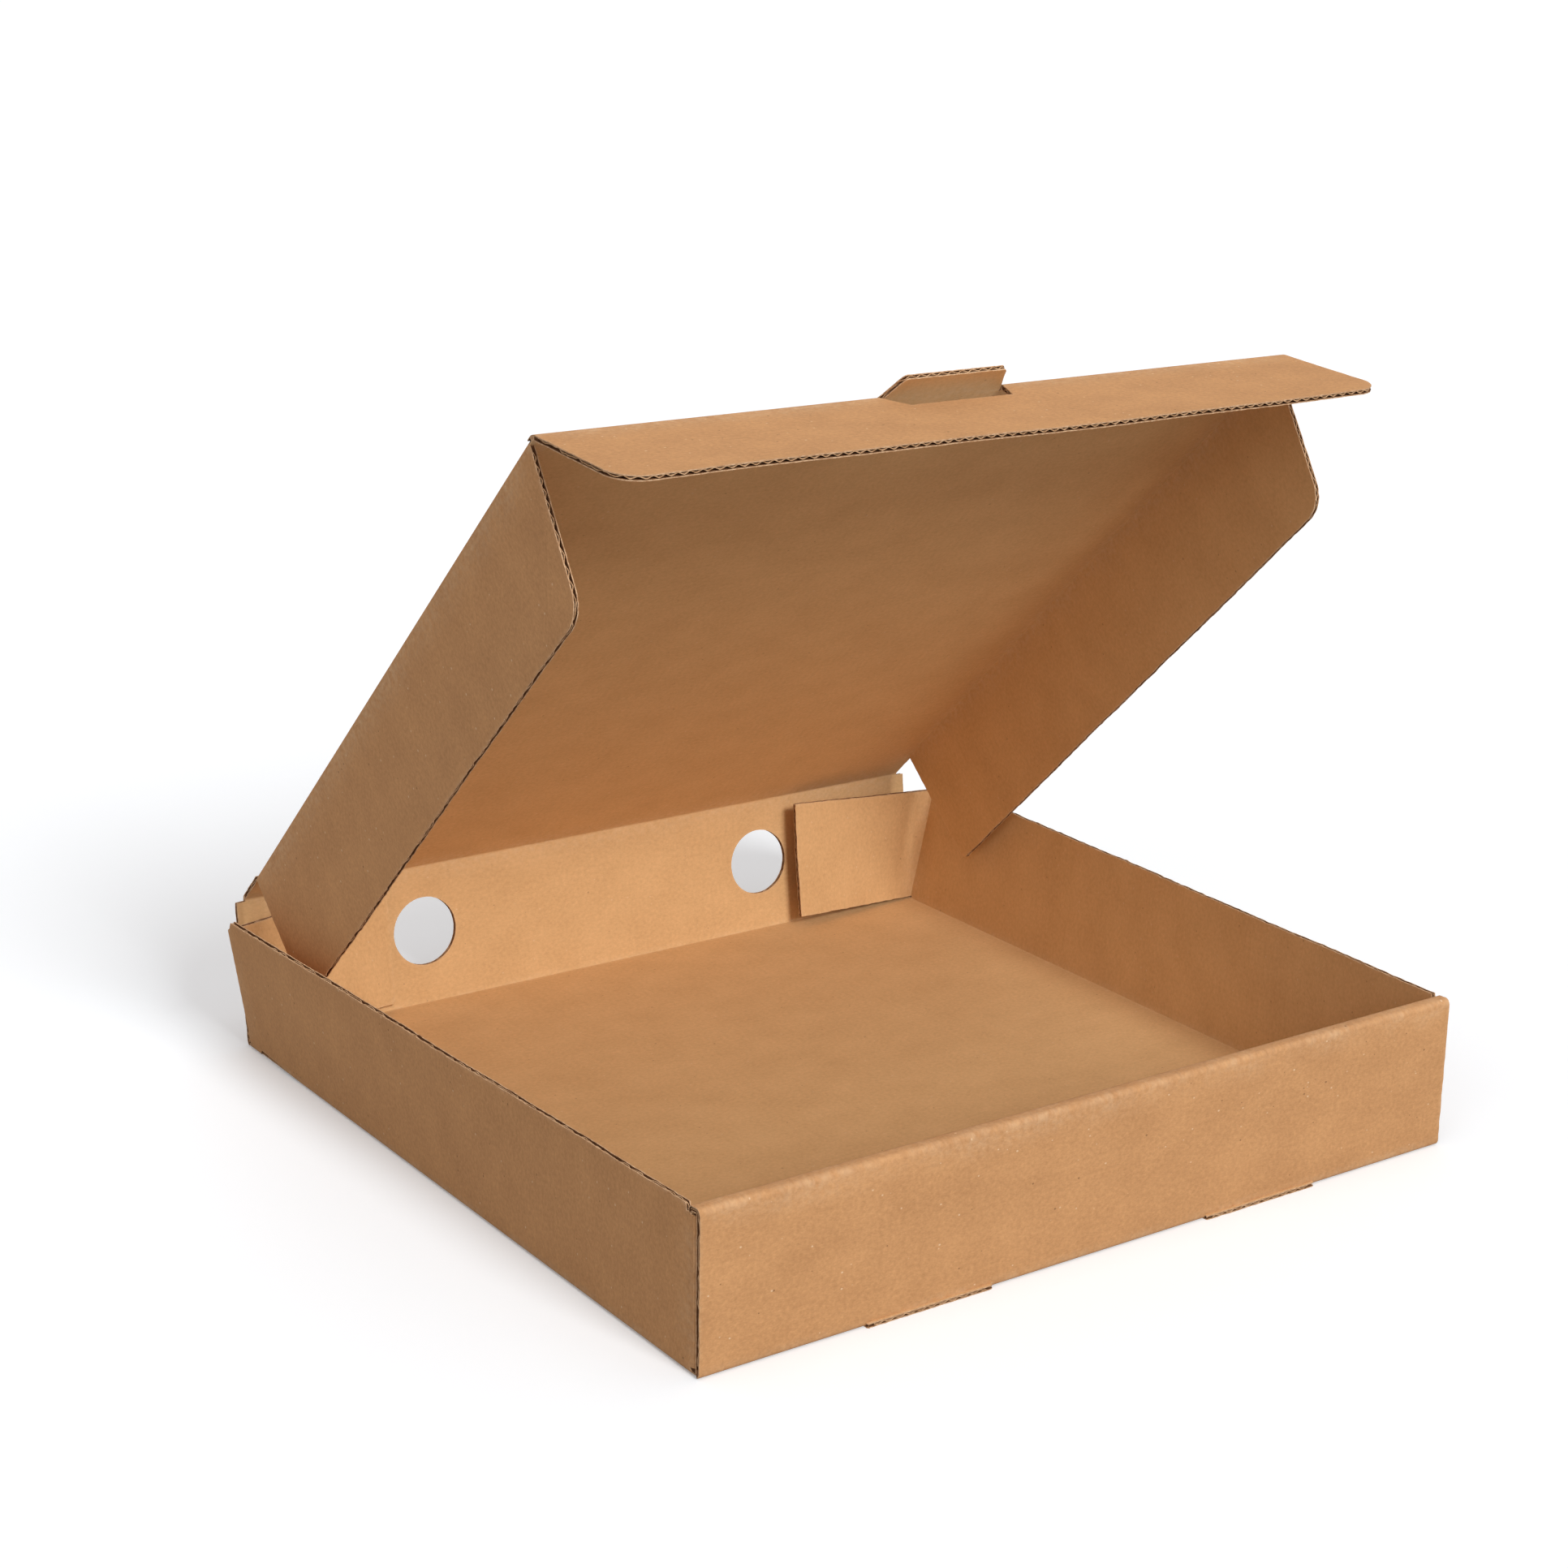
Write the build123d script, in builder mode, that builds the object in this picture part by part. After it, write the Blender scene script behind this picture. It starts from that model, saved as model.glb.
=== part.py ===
# Corrugated pizza box with a hinged tuck lid, standing open.
# Millimetres, +Z up, +Y towards the rear wall, origin under the middle of the base.
import os
from math import cos, radians, sin

from build123d import *

# Board
board = 1.5
flute_pitch = 3.4
liner = 0.3
medium = 0.22
crush_length = 3.0

# Tray
box_width = 254.0
box_depth = 254.0
wall_height = 45.0
fold_radius = 1.1
layer_gap = 0.25
left_wall_lean = 9.0
right_wall_lean = 6.5
rear_wall_lean = 5.5
side_wall_rake = 5.0
rear_corner_gap = 0.3

# Front wall, rolled over and locked into the base
lock_tab_width = 40.0
lock_tab_spacing = 114.0
lock_tab_play = 0.3
lock_ledge_depth = 0.7
lock_ledge_height = 1.3
front_tab_length = 60.0
front_tab_inset = 2.5

# Rear corner tabs
rear_tab_length = 50.0
rear_tab_inset = 3.5
left_tab_rise = 2.0
left_tab_standoff = 0.7
right_tab_rise = 3.0
right_tab_standoff = 6.0
floor_clearance = 0.5
tab_fold_inset = 0.2

# Vent holes in the rear wall
vent_diameter = 22.0
vent_spacing = 128.0
vent_height = 24.5

# Open slit in the fold under the left wall
slit_length = 26.0
slit_height = 1.2
slit_depth = 0.9
slit_from_rear = 7.5

# Lid and its folds
lid_angle = 43.7
fold_gap = 0.3
lid_side_clearance = 1.6
tuck_room = 6.75
thumb_tab_width = 40.0
thumb_tab_length = 9.5
thumb_tab_taper = 3.5
thumb_tab_play = 0.3

# Lid flaps
front_flap_angle = 49.0
front_flap_clearance = 2.5
front_flap_radius = 9.0
side_flap_clearance = 1.3
side_flap_front_gap = 2.5
side_flap_front_taper = 10.0
side_flap_rear_gap = 13.0
side_flap_rear_taper = 3.0
side_flap_front_radius = 9.0
side_flap_rear_radius = 2.0
side_flap_fold_gap = 0.15

# Places worked out from the sizes above
half_width = box_width / 2
half_depth = box_depth / 2
front_y = -half_depth
front_wall_thickness = 3 * board + 2 * layer_gap
front_inner_y = front_y + front_wall_thickness
corner_y = front_y + board + layer_gap
side_rear_y = half_depth - board - rear_corner_gap
hinge_y = half_depth - board / 2 + rear_wall_lean
hinge_z = wall_height + fold_gap + board / 2
lid_width = box_width - 2 * board - 2 * lid_side_clearance
lid_depth = hinge_y - front_inner_y - tuck_room
fold_setback = board / 2 + fold_gap
front_flap_depth = wall_height - board - front_flap_clearance
side_flap_depth = wall_height + fold_gap - board - side_flap_clearance

# Lid plane: X across, Y from the hinge to the front fold, Z towards the inside of the box
lid_along = Vector(0, -cos(radians(lid_angle)), sin(radians(lid_angle)))
lid_inward = Vector(0, -sin(radians(lid_angle)), -cos(radians(lid_angle)))
hinge_point = Vector(0, hinge_y, hinge_z)
lid_plane = Plane(origin=hinge_point, x_dir=(1, 0, 0), z_dir=lid_inward)

# Front flap plane: X across, Y from the fold to the free edge
front_fold_point = hinge_point + lid_along * lid_depth
flap_along = lid_along * cos(radians(front_flap_angle)) + lid_inward * sin(radians(front_flap_angle))
front_flap_plane = Plane(
    origin=front_fold_point, x_dir=(1, 0, 0), z_dir=Vector(1, 0, 0).cross(flap_along)
)


def board_end(low, high, across):
    """Return the cut end of a board, from the edge low to high and across its thickness."""
    return Face(Wire.make_polygon([low, high, high + across, low + across]))


def side_wall_end(side, lean, y_low, y_high):
    """Return one end of a side wall, with its lower fold bevelled, leaning out by lean at the top."""
    outer = side * half_width
    inner = side * (half_width - board)
    shift = side * lean
    rise = fold_radius / wall_height
    corners = [
        Vector(inner, y_low, 0),
        Vector(outer - side * fold_radius, y_low, 0),
        Vector(outer + shift * rise, y_low + (y_high - y_low) * rise, fold_radius),
        Vector(outer + shift, y_high, wall_height),
        Vector(inner + shift, y_high, wall_height),
    ]
    return Face(Wire.make_polygon(corners))


def rear_tab_ends(side, lean, rise, standoff):
    """Return the fold end and the free end of a rear corner tab."""
    across = Vector(0, -board, 0)
    fold_low = board + floor_clearance
    fold_high = wall_height - rear_tab_inset
    fold_points = []
    for height in (fold_low, fold_high):
        share = height / wall_height
        wall_middle = side * (half_width - board / 2 + lean * share)
        fold_points.append(Vector(wall_middle, side_rear_y - tab_fold_inset - side_wall_rake * share, height))
    free_points = []
    for height in (fold_low + rise, fold_high + rise):
        rear_face = half_depth - board + rear_wall_lean * height / wall_height
        free_points.append(Vector(side * (half_width - board - rear_tab_length), rear_face - standoff, height))
    return board_end(*fold_points, across), board_end(*free_points, across)


# Tray: base, four walls, rolled front wall and corner tabs, folded from one sheet
with BuildPart() as tray:
    with BuildSketch():
        Rectangle(box_width - board, box_depth - board)
    extrude(amount=board)
    with BuildSketch(Plane.XY.offset(board)):
        lock_y = front_inner_y - board / 2
        with Locations((0, lock_y)):
            with GridLocations(lock_tab_spacing, 0, 2, 1):
                Rectangle(lock_tab_width + 2 * lock_tab_play, board + 2 * lock_tab_play)
    extrude(amount=-board, mode=Mode.SUBTRACT)

    # Side walls, upright at the front and leaning out towards the rear
    for side, lean in ((-1, left_wall_lean), (1, right_wall_lean)):
        front_end = side_wall_end(side, 0, corner_y, corner_y)
        rear_end = side_wall_end(side, lean, side_rear_y, side_rear_y - side_wall_rake)
        loft([front_end, rear_end], ruled=True)

    # Front corner tabs, tucked between the layers of the front wall
    with BuildSketch(Plane.XZ.offset(-corner_y)):
        tab_height = wall_height - board - 2 * front_tab_inset
        for side in (-1, 1):
            with Locations((side * (half_width - front_tab_length / 2), wall_height / 2)):
                Rectangle(front_tab_length, tab_height)
    extrude(amount=-board)

    # Rear wall, leaning back, with its vent holes
    with BuildSketch(Plane.YZ.offset(-half_width)) as rear_profile:
        with BuildLine():
            Polyline(
                (half_depth - board, 0),
                (half_depth, 0),
                (half_depth + rear_wall_lean, wall_height),
                (half_depth - board + rear_wall_lean, wall_height),
                close=True,
            )
        make_face()
        fillet(rear_profile.vertices().group_by(Axis.Y)[0].sort_by(Axis.X)[-1], fold_radius)
    extrude(amount=box_width)
    with BuildSketch(Plane.XZ.offset(-half_depth - 2 * rear_wall_lean)):
        with Locations((0, vent_height)):
            with GridLocations(vent_spacing, 0, 2, 1):
                Circle(vent_diameter / 2)
    extrude(amount=3 * rear_wall_lean + 2 * board, mode=Mode.SUBTRACT)

    # Rear corner tabs: the left one lies on the rear wall, the right one stands off it
    loft(rear_tab_ends(-1, left_wall_lean, left_tab_rise, left_tab_standoff), ruled=True)
    loft(rear_tab_ends(1, right_wall_lean, right_tab_rise, right_tab_standoff), ruled=True)

    # Front wall: outer layer and rolled top across the whole box
    with BuildSketch(Plane.YZ.offset(-half_width)) as roll_profile:
        with BuildLine():
            Polyline(
                (front_y, 0),
                (front_y + board, 0),
                (front_y + board, wall_height - board),
                (front_inner_y, wall_height - board),
                (front_inner_y, wall_height),
                (front_y, wall_height),
                close=True,
            )
        make_face()
        fillet(roll_profile.vertices().group_by(Axis.Y)[-1], fold_radius)
        fillet(roll_profile.vertices().group_by(Axis.Y)[0].sort_by(Axis.X)[0], fold_radius)
    extrude(amount=box_width)

    # Inner layer of the front wall, with the lock tabs that pass through the base
    with BuildSketch(Plane.XZ.offset(-front_inner_y)):
        inner_low = board + floor_clearance
        inner_high = wall_height - fold_radius
        inner_width = box_width - 2 * board - 2 * layer_gap
        with Locations((0, (inner_low + inner_high) / 2)):
            Rectangle(inner_width, inner_high - inner_low)
        with Locations((0, inner_low / 2)):
            with GridLocations(lock_tab_spacing, 0, 2, 1):
                Rectangle(lock_tab_width, inner_low)
    extrude(amount=board)

    # Ledges where the lock slots open the front fold
    with BuildSketch(Plane.XY):
        with Locations((0, front_y + (board - lock_ledge_depth) / 2)):
            with GridLocations(lock_tab_spacing, 0, 2, 1):
                Rectangle(lock_tab_width, board + lock_ledge_depth)
    extrude(amount=lock_ledge_height)

    # Slit in the fold under the left wall
    with BuildSketch(Plane.XY):
        slit_y = side_rear_y - slit_from_rear - slit_length / 2
        with Locations((-half_width + slit_depth / 2, slit_y)):
            Rectangle(slit_depth + board, slit_length)
    extrude(amount=slit_height, mode=Mode.SUBTRACT)
tray.part.label = "tray"


# Lid: the panel with its thumb tab, a round edge at the hinge and round side folds
panel_end = lid_depth - fold_setback
with BuildPart() as lid:
    with BuildSketch(lid_plane):
        with Locations((0, panel_end / 2)):
            Rectangle(lid_width, panel_end)
    extrude(amount=board / 2, both=True)
    outer_side_edges = lid.edges().filter_by(lambda edge: abs(edge.tangent_at(0).dot(lid_along)) > 0.99)
    outer_side_edges = outer_side_edges.sort_by(lambda edge: (edge.center() - hinge_point).dot(lid_inward))[:2]
    fillet(outer_side_edges, 0.99 * board)
    with BuildSketch(Plane.YZ):
        with Locations((hinge_y, hinge_z)):
            Circle(board / 2)
    extrude(amount=lid_width / 2 - board, both=True)
    with BuildSketch(lid_plane):
        with BuildLine():
            Polyline(
                (-thumb_tab_width / 2, panel_end - board),
                (thumb_tab_width / 2, panel_end - board),
                (thumb_tab_width / 2, lid_depth),
                (thumb_tab_width / 2 - thumb_tab_taper, lid_depth + thumb_tab_length),
                (-thumb_tab_width / 2 + thumb_tab_taper, lid_depth + thumb_tab_length),
                (-thumb_tab_width / 2, lid_depth),
                close=True,
            )
        make_face()
    extrude(amount=board / 2, both=True)
lid.part.label = "lid"


def flute_ends(plane, first, count):
    """Return the hollow ends of a row of flutes, on a plane across them.

    The plane's X runs across the flutes, and its Y through the board.
    """
    core = board - 2 * liner
    half_base = flute_pitch / 2 - 2 * medium
    tip = core / 2 - medium
    with BuildSketch(plane) as flutes:
        for turn in (1, -1):
            row_middle = first + (count / 2 - turn * 0.25) * flute_pitch
            with Locations((row_middle, 0)):
                with GridLocations(flute_pitch, 0, count, 1):
                    Polygon(
                        (-half_base, -turn * core / 2),
                        (half_base, -turn * core / 2),
                        (0, turn * tip),
                        align=None,
                    )
    return flutes.sketch


# Front flap of the lid, notched around the thumb tab
with BuildPart() as lid_front_flap:
    with BuildSketch(front_flap_plane) as flap_outline:
        with Locations((0, front_flap_depth / 2)):
            Rectangle(lid_width, front_flap_depth)
        fillet(flap_outline.vertices().group_by(Axis.Y)[-1], front_flap_radius)
    extrude(amount=board / 2, both=True)
    with BuildSketch(Plane.YZ):
        with Locations((front_fold_point.Y, front_fold_point.Z)):
            Circle(board / 2)
    extrude(amount=lid_width / 2, both=True)
    with BuildSketch(front_flap_plane):
        with BuildLine():
            notch_half = thumb_tab_width / 2 + thumb_tab_play
            notch_end = thumb_tab_length + thumb_tab_play
            Polyline(
                (-notch_half, -board),
                (notch_half, -board),
                (notch_half, 0),
                (notch_half - thumb_tab_taper, notch_end),
                (-notch_half + thumb_tab_taper, notch_end),
                (-notch_half, 0),
                close=True,
            )
        make_face()
    extrude(amount=2 * board, both=True, mode=Mode.SUBTRACT)
    flute_count = int((lid_width - flute_pitch) // flute_pitch)
    flute_plane = Plane(
        origin=front_fold_point + flap_along * (thumb_tab_length + crush_length),
        x_dir=(1, 0, 0),
        z_dir=flap_along,
    )
    front_flutes = flute_ends(flute_plane, -flute_count * flute_pitch / 2, flute_count)
    extrude(front_flutes, amount=front_flap_depth, dir=flap_along, mode=Mode.SUBTRACT)
lid_front_flap.part.label = "lid_front_flap"


def side_flap(side):
    """Return a lid side flap at a right angle to the lid, on the side +1 or -1."""
    inner_face = hinge_point + Vector(side * (lid_width / 2 - board), 0, 0) + lid_inward * (board / 2)
    flap_plane = Plane(origin=inner_face, x_dir=lid_along, z_dir=lid_along.cross(lid_inward))
    front = lid_depth - side_flap_front_gap
    with BuildPart() as flap:
        with BuildSketch(flap_plane) as outline:
            with BuildLine():
                Polyline(
                    (side_flap_rear_gap, side_flap_fold_gap),
                    (front, side_flap_fold_gap),
                    (front - side_flap_front_taper, side_flap_depth),
                    (side_flap_rear_gap + side_flap_rear_taper, side_flap_depth),
                    close=True,
                )
            make_face()
            free_corners = outline.vertices().group_by(Axis.Y)[-1].sort_by(Axis.X)
            fillet(free_corners[-1], side_flap_front_radius)
            fillet(outline.vertices().group_by(Axis.Y)[-1].sort_by(Axis.X)[0], side_flap_rear_radius)
        extrude(amount=side * board)
        flute_count = int((side_flap_depth - crush_length - flute_pitch / 2) // flute_pitch)
        flute_plane = Plane(
            origin=inner_face + Vector(side * board / 2, 0, 0),
            x_dir=lid_inward,
            z_dir=lid_along,
        )
        side_flutes = flute_ends(flute_plane, crush_length, flute_count)
        extrude(side_flutes, amount=lid_depth, dir=lid_along, mode=Mode.SUBTRACT)
    return flap.part


lid_left_flap = side_flap(-1)
lid_left_flap.label = "lid_left_flap"
lid_right_flap = side_flap(1)
lid_right_flap.label = "lid_right_flap"

# One file for each piece
os.makedirs("parts", exist_ok=True)
for piece in (tray.part, lid.part, lid_front_flap.part, lid_left_flap, lid_right_flap):
    export_step(piece, f"parts/{piece.label}.step")
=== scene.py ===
"""A corrugated pizza box with a hinged tuck lid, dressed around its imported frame.

Every panel is a flat blank of fluted kraft board, cut, folded into place and given its two liners.
Metres, +Z up, +Y towards the rear wall, origin under the middle of the base.
"""

import logging
import math
from dataclasses import dataclass, field
from enum import Enum
from typing import Callable, Optional, Union

import bpy
import numpy as np
from bpy.types import ID, Material, Mesh, Node, NodeOutputs, NodeTree, Object
from bpy.types import NodeSocket as Socket
from mathutils import Matrix, Vector
from mathutils.geometry import delaunay_2d_cdt


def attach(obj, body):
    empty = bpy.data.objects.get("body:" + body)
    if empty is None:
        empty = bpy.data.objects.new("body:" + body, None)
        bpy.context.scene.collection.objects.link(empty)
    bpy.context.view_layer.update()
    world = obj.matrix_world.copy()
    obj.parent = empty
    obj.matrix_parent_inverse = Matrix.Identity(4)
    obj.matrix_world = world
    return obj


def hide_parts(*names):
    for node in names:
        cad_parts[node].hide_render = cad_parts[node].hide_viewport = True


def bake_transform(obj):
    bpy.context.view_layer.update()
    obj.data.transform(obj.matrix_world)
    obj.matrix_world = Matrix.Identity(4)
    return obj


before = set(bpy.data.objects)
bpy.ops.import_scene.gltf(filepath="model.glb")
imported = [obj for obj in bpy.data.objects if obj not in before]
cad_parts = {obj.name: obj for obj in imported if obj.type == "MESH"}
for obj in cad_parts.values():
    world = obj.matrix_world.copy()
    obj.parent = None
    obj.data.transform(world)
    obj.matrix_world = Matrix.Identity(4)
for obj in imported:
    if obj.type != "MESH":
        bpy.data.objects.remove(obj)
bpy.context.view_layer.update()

MM = 0.001
LOG = logging.getLogger("pizza_box")
UV_NAME = "Blank"
TINY = 1e-12
TINY_SQUARE = 1e-18
BATCH = 400
TOUCH = 0.05 * MM
SHARP_ANGLE = math.radians(38)
FLUTE_SHARP_ANGLE = math.radians(50)
SHORT_WAVE_SHARE = 0.5
ACROSS = np.array([1.0, 0.0, 0.0])

Array = np.ndarray
Placement = Callable[[Array], Array]
Test = Callable[[Array], Array]
Point = tuple[float, float]
Row = tuple[Point, Point]
RoundCorner = tuple[float, float, float]
Colour = tuple[float, float, float]
Point3 = tuple[float, float, float]


class Skin(Enum):
    """Material slots of a board piece, in order."""

    OUTER = 0
    INNER = 1
    RIM = 2
    # The groove's faces, painted near-black as the shade inside the groove.
    CORE = 3


class Side(Enum):
    """The two sides of the box."""

    LEFT = -1
    RIGHT = 1


@dataclass(frozen=True)
class Board:
    """Sizes of the fluted board, its cut edges and its folds."""

    thickness: float = 1.5 * MM
    liner: float = 0.3 * MM
    medium: float = 0.24 * MM
    pitch: float = 3.4 * MM
    bend: float = 0.85 * MM
    groove: float = 2.4 * MM
    ragged: float = 0.06 * MM
    ragged_limit: float = 0.16 * MM
    hole_ragged_share: float = 0.25
    liner_ragged_share: float = 0.8
    wear_width: float = 1.3 * MM

    @property
    def half(self) -> float:
        """Half the thickness."""
        return self.thickness / 2

    @property
    def quarter_turn(self) -> float:
        """Length of a right-angle fold along the middle of the board."""
        return self.bend * math.pi / 2


@dataclass(frozen=True)
class MeshSteps:
    """How far apart a board's mesh points are, and how near they come to its edges and folds."""

    edge: float = 1.7 * MM
    merged: float = 0.06 * MM
    row: float = 3.5 * MM
    row_end: float = 1.0 * MM
    row_end_count: int = 5
    grid: float = 9.0 * MM
    ring_inset: float = 1.8 * MM
    ring_to_edge: float = 1.4 * MM
    row_to_edge: float = 0.25 * MM
    grid_to_edge: float = 3.5 * MM
    grid_to_row: float = 2.6 * MM
    ring_to_row: float = 0.5 * MM


STEPS = MeshSteps()


def unit(vectors: Array) -> Array:
    """Return the vectors scaled to length 1."""
    return vectors / np.maximum(np.linalg.norm(vectors, axis=-1, keepdims=True), TINY)


def edge_distance(points: Array, starts: Array, ends: Array) -> Array:
    """Return how far each flat point is from the nearest of some segments.

    Args:
        points: Flat points, one a row.
        starts: First ends of the segments.
        ends: Second ends of the segments.

    Returns:
        One distance for each point.
    """
    found = np.empty(len(points))
    along = ends - starts
    length = np.maximum((along**2).sum(1), TINY_SQUARE)
    for first in range(0, len(points), BATCH):
        part = points[first : first + BATCH, None, :]
        share = np.clip(((part - starts) * along).sum(2) / length, 0, 1)
        gap = part - (starts + share[:, :, None] * along)
        found[first : first + BATCH] = np.sqrt((gap**2).sum(2).min(1))
    return found


def row_distance(points: Array, rows: list[Row]) -> Array:
    """Return how far each flat point is from the nearest of some rows."""
    ends = np.array(rows)
    return edge_distance(points, ends[:, 0], ends[:, 1])


def inside(points: Array, loops: list[Array]) -> Array:
    """Tell which flat points lie within an outline and outside its holes.

    Args:
        points: Flat points, one a row.
        loops: The outline and its holes.

    Returns:
        True for each point on the board.
    """
    odd = np.zeros(len(points), bool)
    x, y = points[:, 0], points[:, 1]
    for loop in loops:
        for (x0, y0), (x1, y1) in zip(loop, np.roll(loop, -1, axis=0)):
            if y0 == y1:
                continue
            crosses = ((y0 > y) != (y1 > y)) & (x < (x1 - x0) * (y - y0) / (y1 - y0) + x0)
            odd ^= crosses
    return odd


def follow(run: Array, corners: list[Point], radius: float) -> Array:
    """Return points on a path with rounded corners.

    Args:
        run: Distances along the path, from its first corner point.
        corners: The path's first point, its corners and its last point.
        radius: Radius of each corner.

    Returns:
        Flat points, one for each distance.
    """
    points = [np.array(corner) for corner in corners]
    heading = unit(points[1] - points[0])
    found = points[0] + run[:, None] * heading
    start_run, start = 0.0, points[0]
    for corner, after in zip(points[1:-1], points[2:]):
        ahead = unit(after - corner)
        angle = math.acos(np.clip(heading @ ahead, -1, 1))
        reach = radius * math.tan(angle / 2)
        arc_run = start_run + np.linalg.norm(corner - start) - reach
        arc_start = corner - heading * reach
        turn = unit(ahead - heading * (heading @ ahead))
        turned = np.clip((run - arc_run) / radius, 0, angle)[:, None]
        past = np.maximum(run - arc_run - radius * angle, 0)[:, None]
        bent = arc_start + radius * (np.sin(turned) * heading + (1 - np.cos(turned)) * turn)
        found = np.where((run > arc_run)[:, None], bent + past * ahead, found)
        start_run, start, heading = arc_run + radius * angle, corner + ahead * reach, ahead
    return found


def rounded(corners: list[RoundCorner], steps: int) -> Array:
    """Return an outline whose corners have their own radii.

    Args:
        corners: Across, along and corner radius of each corner, in order.
        steps: Points on each round corner.

    Returns:
        The outline's points.
    """
    points = []
    flat = [np.array(corner[:2]) for corner in corners]
    for index, (_, _, radius) in enumerate(corners):
        here, before, after = flat[index], flat[index - 1], flat[(index + 1) % len(flat)]
        if radius <= 0:
            points.append(here)
            continue
        back, ahead = unit(before - here), unit(after - here)
        angle = math.acos(np.clip(back @ ahead, -1, 1))
        reach = radius / math.tan(angle / 2)
        centre = here + unit(back + ahead) * radius / math.sin(angle / 2)
        first, last = here + back * reach - centre, here + ahead * reach - centre
        for share in np.linspace(0, 1, steps):
            points.append(centre + unit(first * (1 - share) + last * share) * radius)
    return np.array(points)


def mirrored(right: list[RoundCorner]) -> list[RoundCorner]:
    """Return an outline's right half followed by its mirror image, back along the left."""
    return right + [(-across, along, radius) for across, along, radius in reversed(right)]


def circle(across: float, along: float, radius: float, steps: int = 44) -> Array:
    """Return a round hole's edge, clockwise."""
    turn = -np.linspace(0, 2 * math.pi, steps, endpoint=False)
    return np.column_stack((across + radius * np.cos(turn), along + radius * np.sin(turn)))


def ripple(place: Array, long: float, short: float, phase: object) -> Array:
    """Return a gentle uneven wave along an edge: a long sine from some phase, and a lower short one."""
    return np.sin(place / long + phase) + SHORT_WAVE_SHARE * np.sin(place / short)


def make_object(name: str, data: ID) -> Object:
    """Link a new object at the origin.

    Args:
        name: Name of the object.
        data: Its mesh, lamp or camera.

    Returns:
        The object.
    """
    piece = bpy.data.objects.new(name, data)
    bpy.context.scene.collection.objects.link(piece)
    return piece


def store(mesh: Mesh, label: str, values: Array) -> None:
    """Store a number or a vector for each vertex of a mesh."""
    kind, key = ("FLOAT", "value") if values.ndim == 1 else ("FLOAT_VECTOR", "vector")
    mesh.attributes.new(label, kind, "POINT").data.foreach_set(key, values.astype(np.float32).ravel())


def make_mesh(
    name: str,
    points: Array,
    faces: list[list[int]],
    skins: list[int],
    blank: Array,
    fold: Array,
    edge: Array,
    materials: list[Material],
) -> Mesh:
    """Make a board mesh with its blank map, its fold and edge wear and its materials.

    Args:
        name: Name of the mesh.
        points: Vertices.
        faces: Vertex numbers of each face.
        skins: Material slot of each face.
        blank: Each vertex's place on the flat blank.
        fold: How near each vertex is to a fold, from 0 to 1.
        edge: How near each vertex is to a cut edge, from 0 to 1.
        materials: The materials, in the order of the slots.

    Returns:
        The mesh, smooth with sharp edges.
    """
    mesh = bpy.data.meshes.new(name)
    mesh.from_pydata(points.tolist(), [], faces)
    for material in materials:
        mesh.materials.append(material)
    mesh.polygons.foreach_set("material_index", np.array(skins, np.int32))
    corner_vertex = np.empty(len(mesh.loops), np.int32)
    mesh.loops.foreach_get("vertex_index", corner_vertex)
    layer = mesh.uv_layers.new(name=UV_NAME)
    layer.data.foreach_set("uv", blank[corner_vertex].astype(np.float32).ravel())
    store(mesh, "fold", fold)
    store(mesh, "edge", edge)
    mesh.polygons.foreach_set("use_smooth", np.ones(len(mesh.polygons), bool))
    mesh.update()
    mesh.set_sharp_from_angle(angle=SHARP_ANGLE)
    return mesh


@dataclass
class Blank:
    """A flat blank of board and how it is folded.

    The outline runs anticlockwise and the holes clockwise, seen from the inside of the box.
    """

    board: Board
    loops: list[Array]
    place: Placement
    rows: list[Row] = field(default_factory=list)
    creases: list[Row] = field(default_factory=list)
    joined: Optional[Test] = None
    sway: Optional[Placement] = None
    seed: int = 1

    def settle(self, flat: Array) -> Array:
        """Return where points of the blank lie in the folded box, with the board's slight sway."""
        found = self.place(flat)
        return found if self.sway is None else found + self.sway(flat)

    def normals(self, flat: Array) -> Array:
        """Return the board's directions towards the inside of the box.

        Args:
            flat: Points on the blank.

        Returns:
            One direction for each point.
        """
        small = 0.002 * MM
        across = np.array([small, 0.0])
        along = np.array([0.0, small])
        first = self.settle(flat + across) - self.settle(flat - across)
        second = self.settle(flat + along) - self.settle(flat - along)
        return unit(np.cross(first, second))

    def _crossings(self, start: Array, along: Array) -> list[float]:
        """Find where an edge of the outline crosses the fold rows.

        Args:
            start: The edge's first point.
            along: The way from there to its last point.

        Returns:
            Shares of that way, between 0 and 1.
        """
        found = []
        for row_start, row_end in self.rows:
            row = np.subtract(row_end, row_start)
            cross = along[0] * row[1] - along[1] * row[0]
            if abs(cross) < TINY:
                continue
            gap = np.subtract(row_start, start)
            share = (gap[0] * row[1] - gap[1] * row[0]) / cross
            place = (gap[0] * along[1] - gap[1] * along[0]) / cross
            if 0 < share < 1 and 0 <= place <= 1:
                found.append(share)
        return found

    def sample(self, loop: Array) -> Array:
        """Return points along an outline: its corners, even steps and its crossings with fold rows.

        Args:
            loop: The outline's corners.

        Returns:
            The outline's points.
        """
        found = []
        for start, end in zip(loop, np.roll(loop, -1, axis=0)):
            along = end - start
            length = np.linalg.norm(along)
            count = max(1, math.ceil(length / STEPS.edge))
            shares = list(np.arange(count) / count) + self._crossings(start, along)
            kept = []
            for share in sorted(shares):
                if not kept or (share - kept[-1]) * length > STEPS.merged:
                    kept.append(share)
            if len(kept) > 1 and (1 - kept[-1]) * length < STEPS.merged:
                kept.pop()
            found.extend(start + share * along for share in kept)
        return np.array(found)


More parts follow.
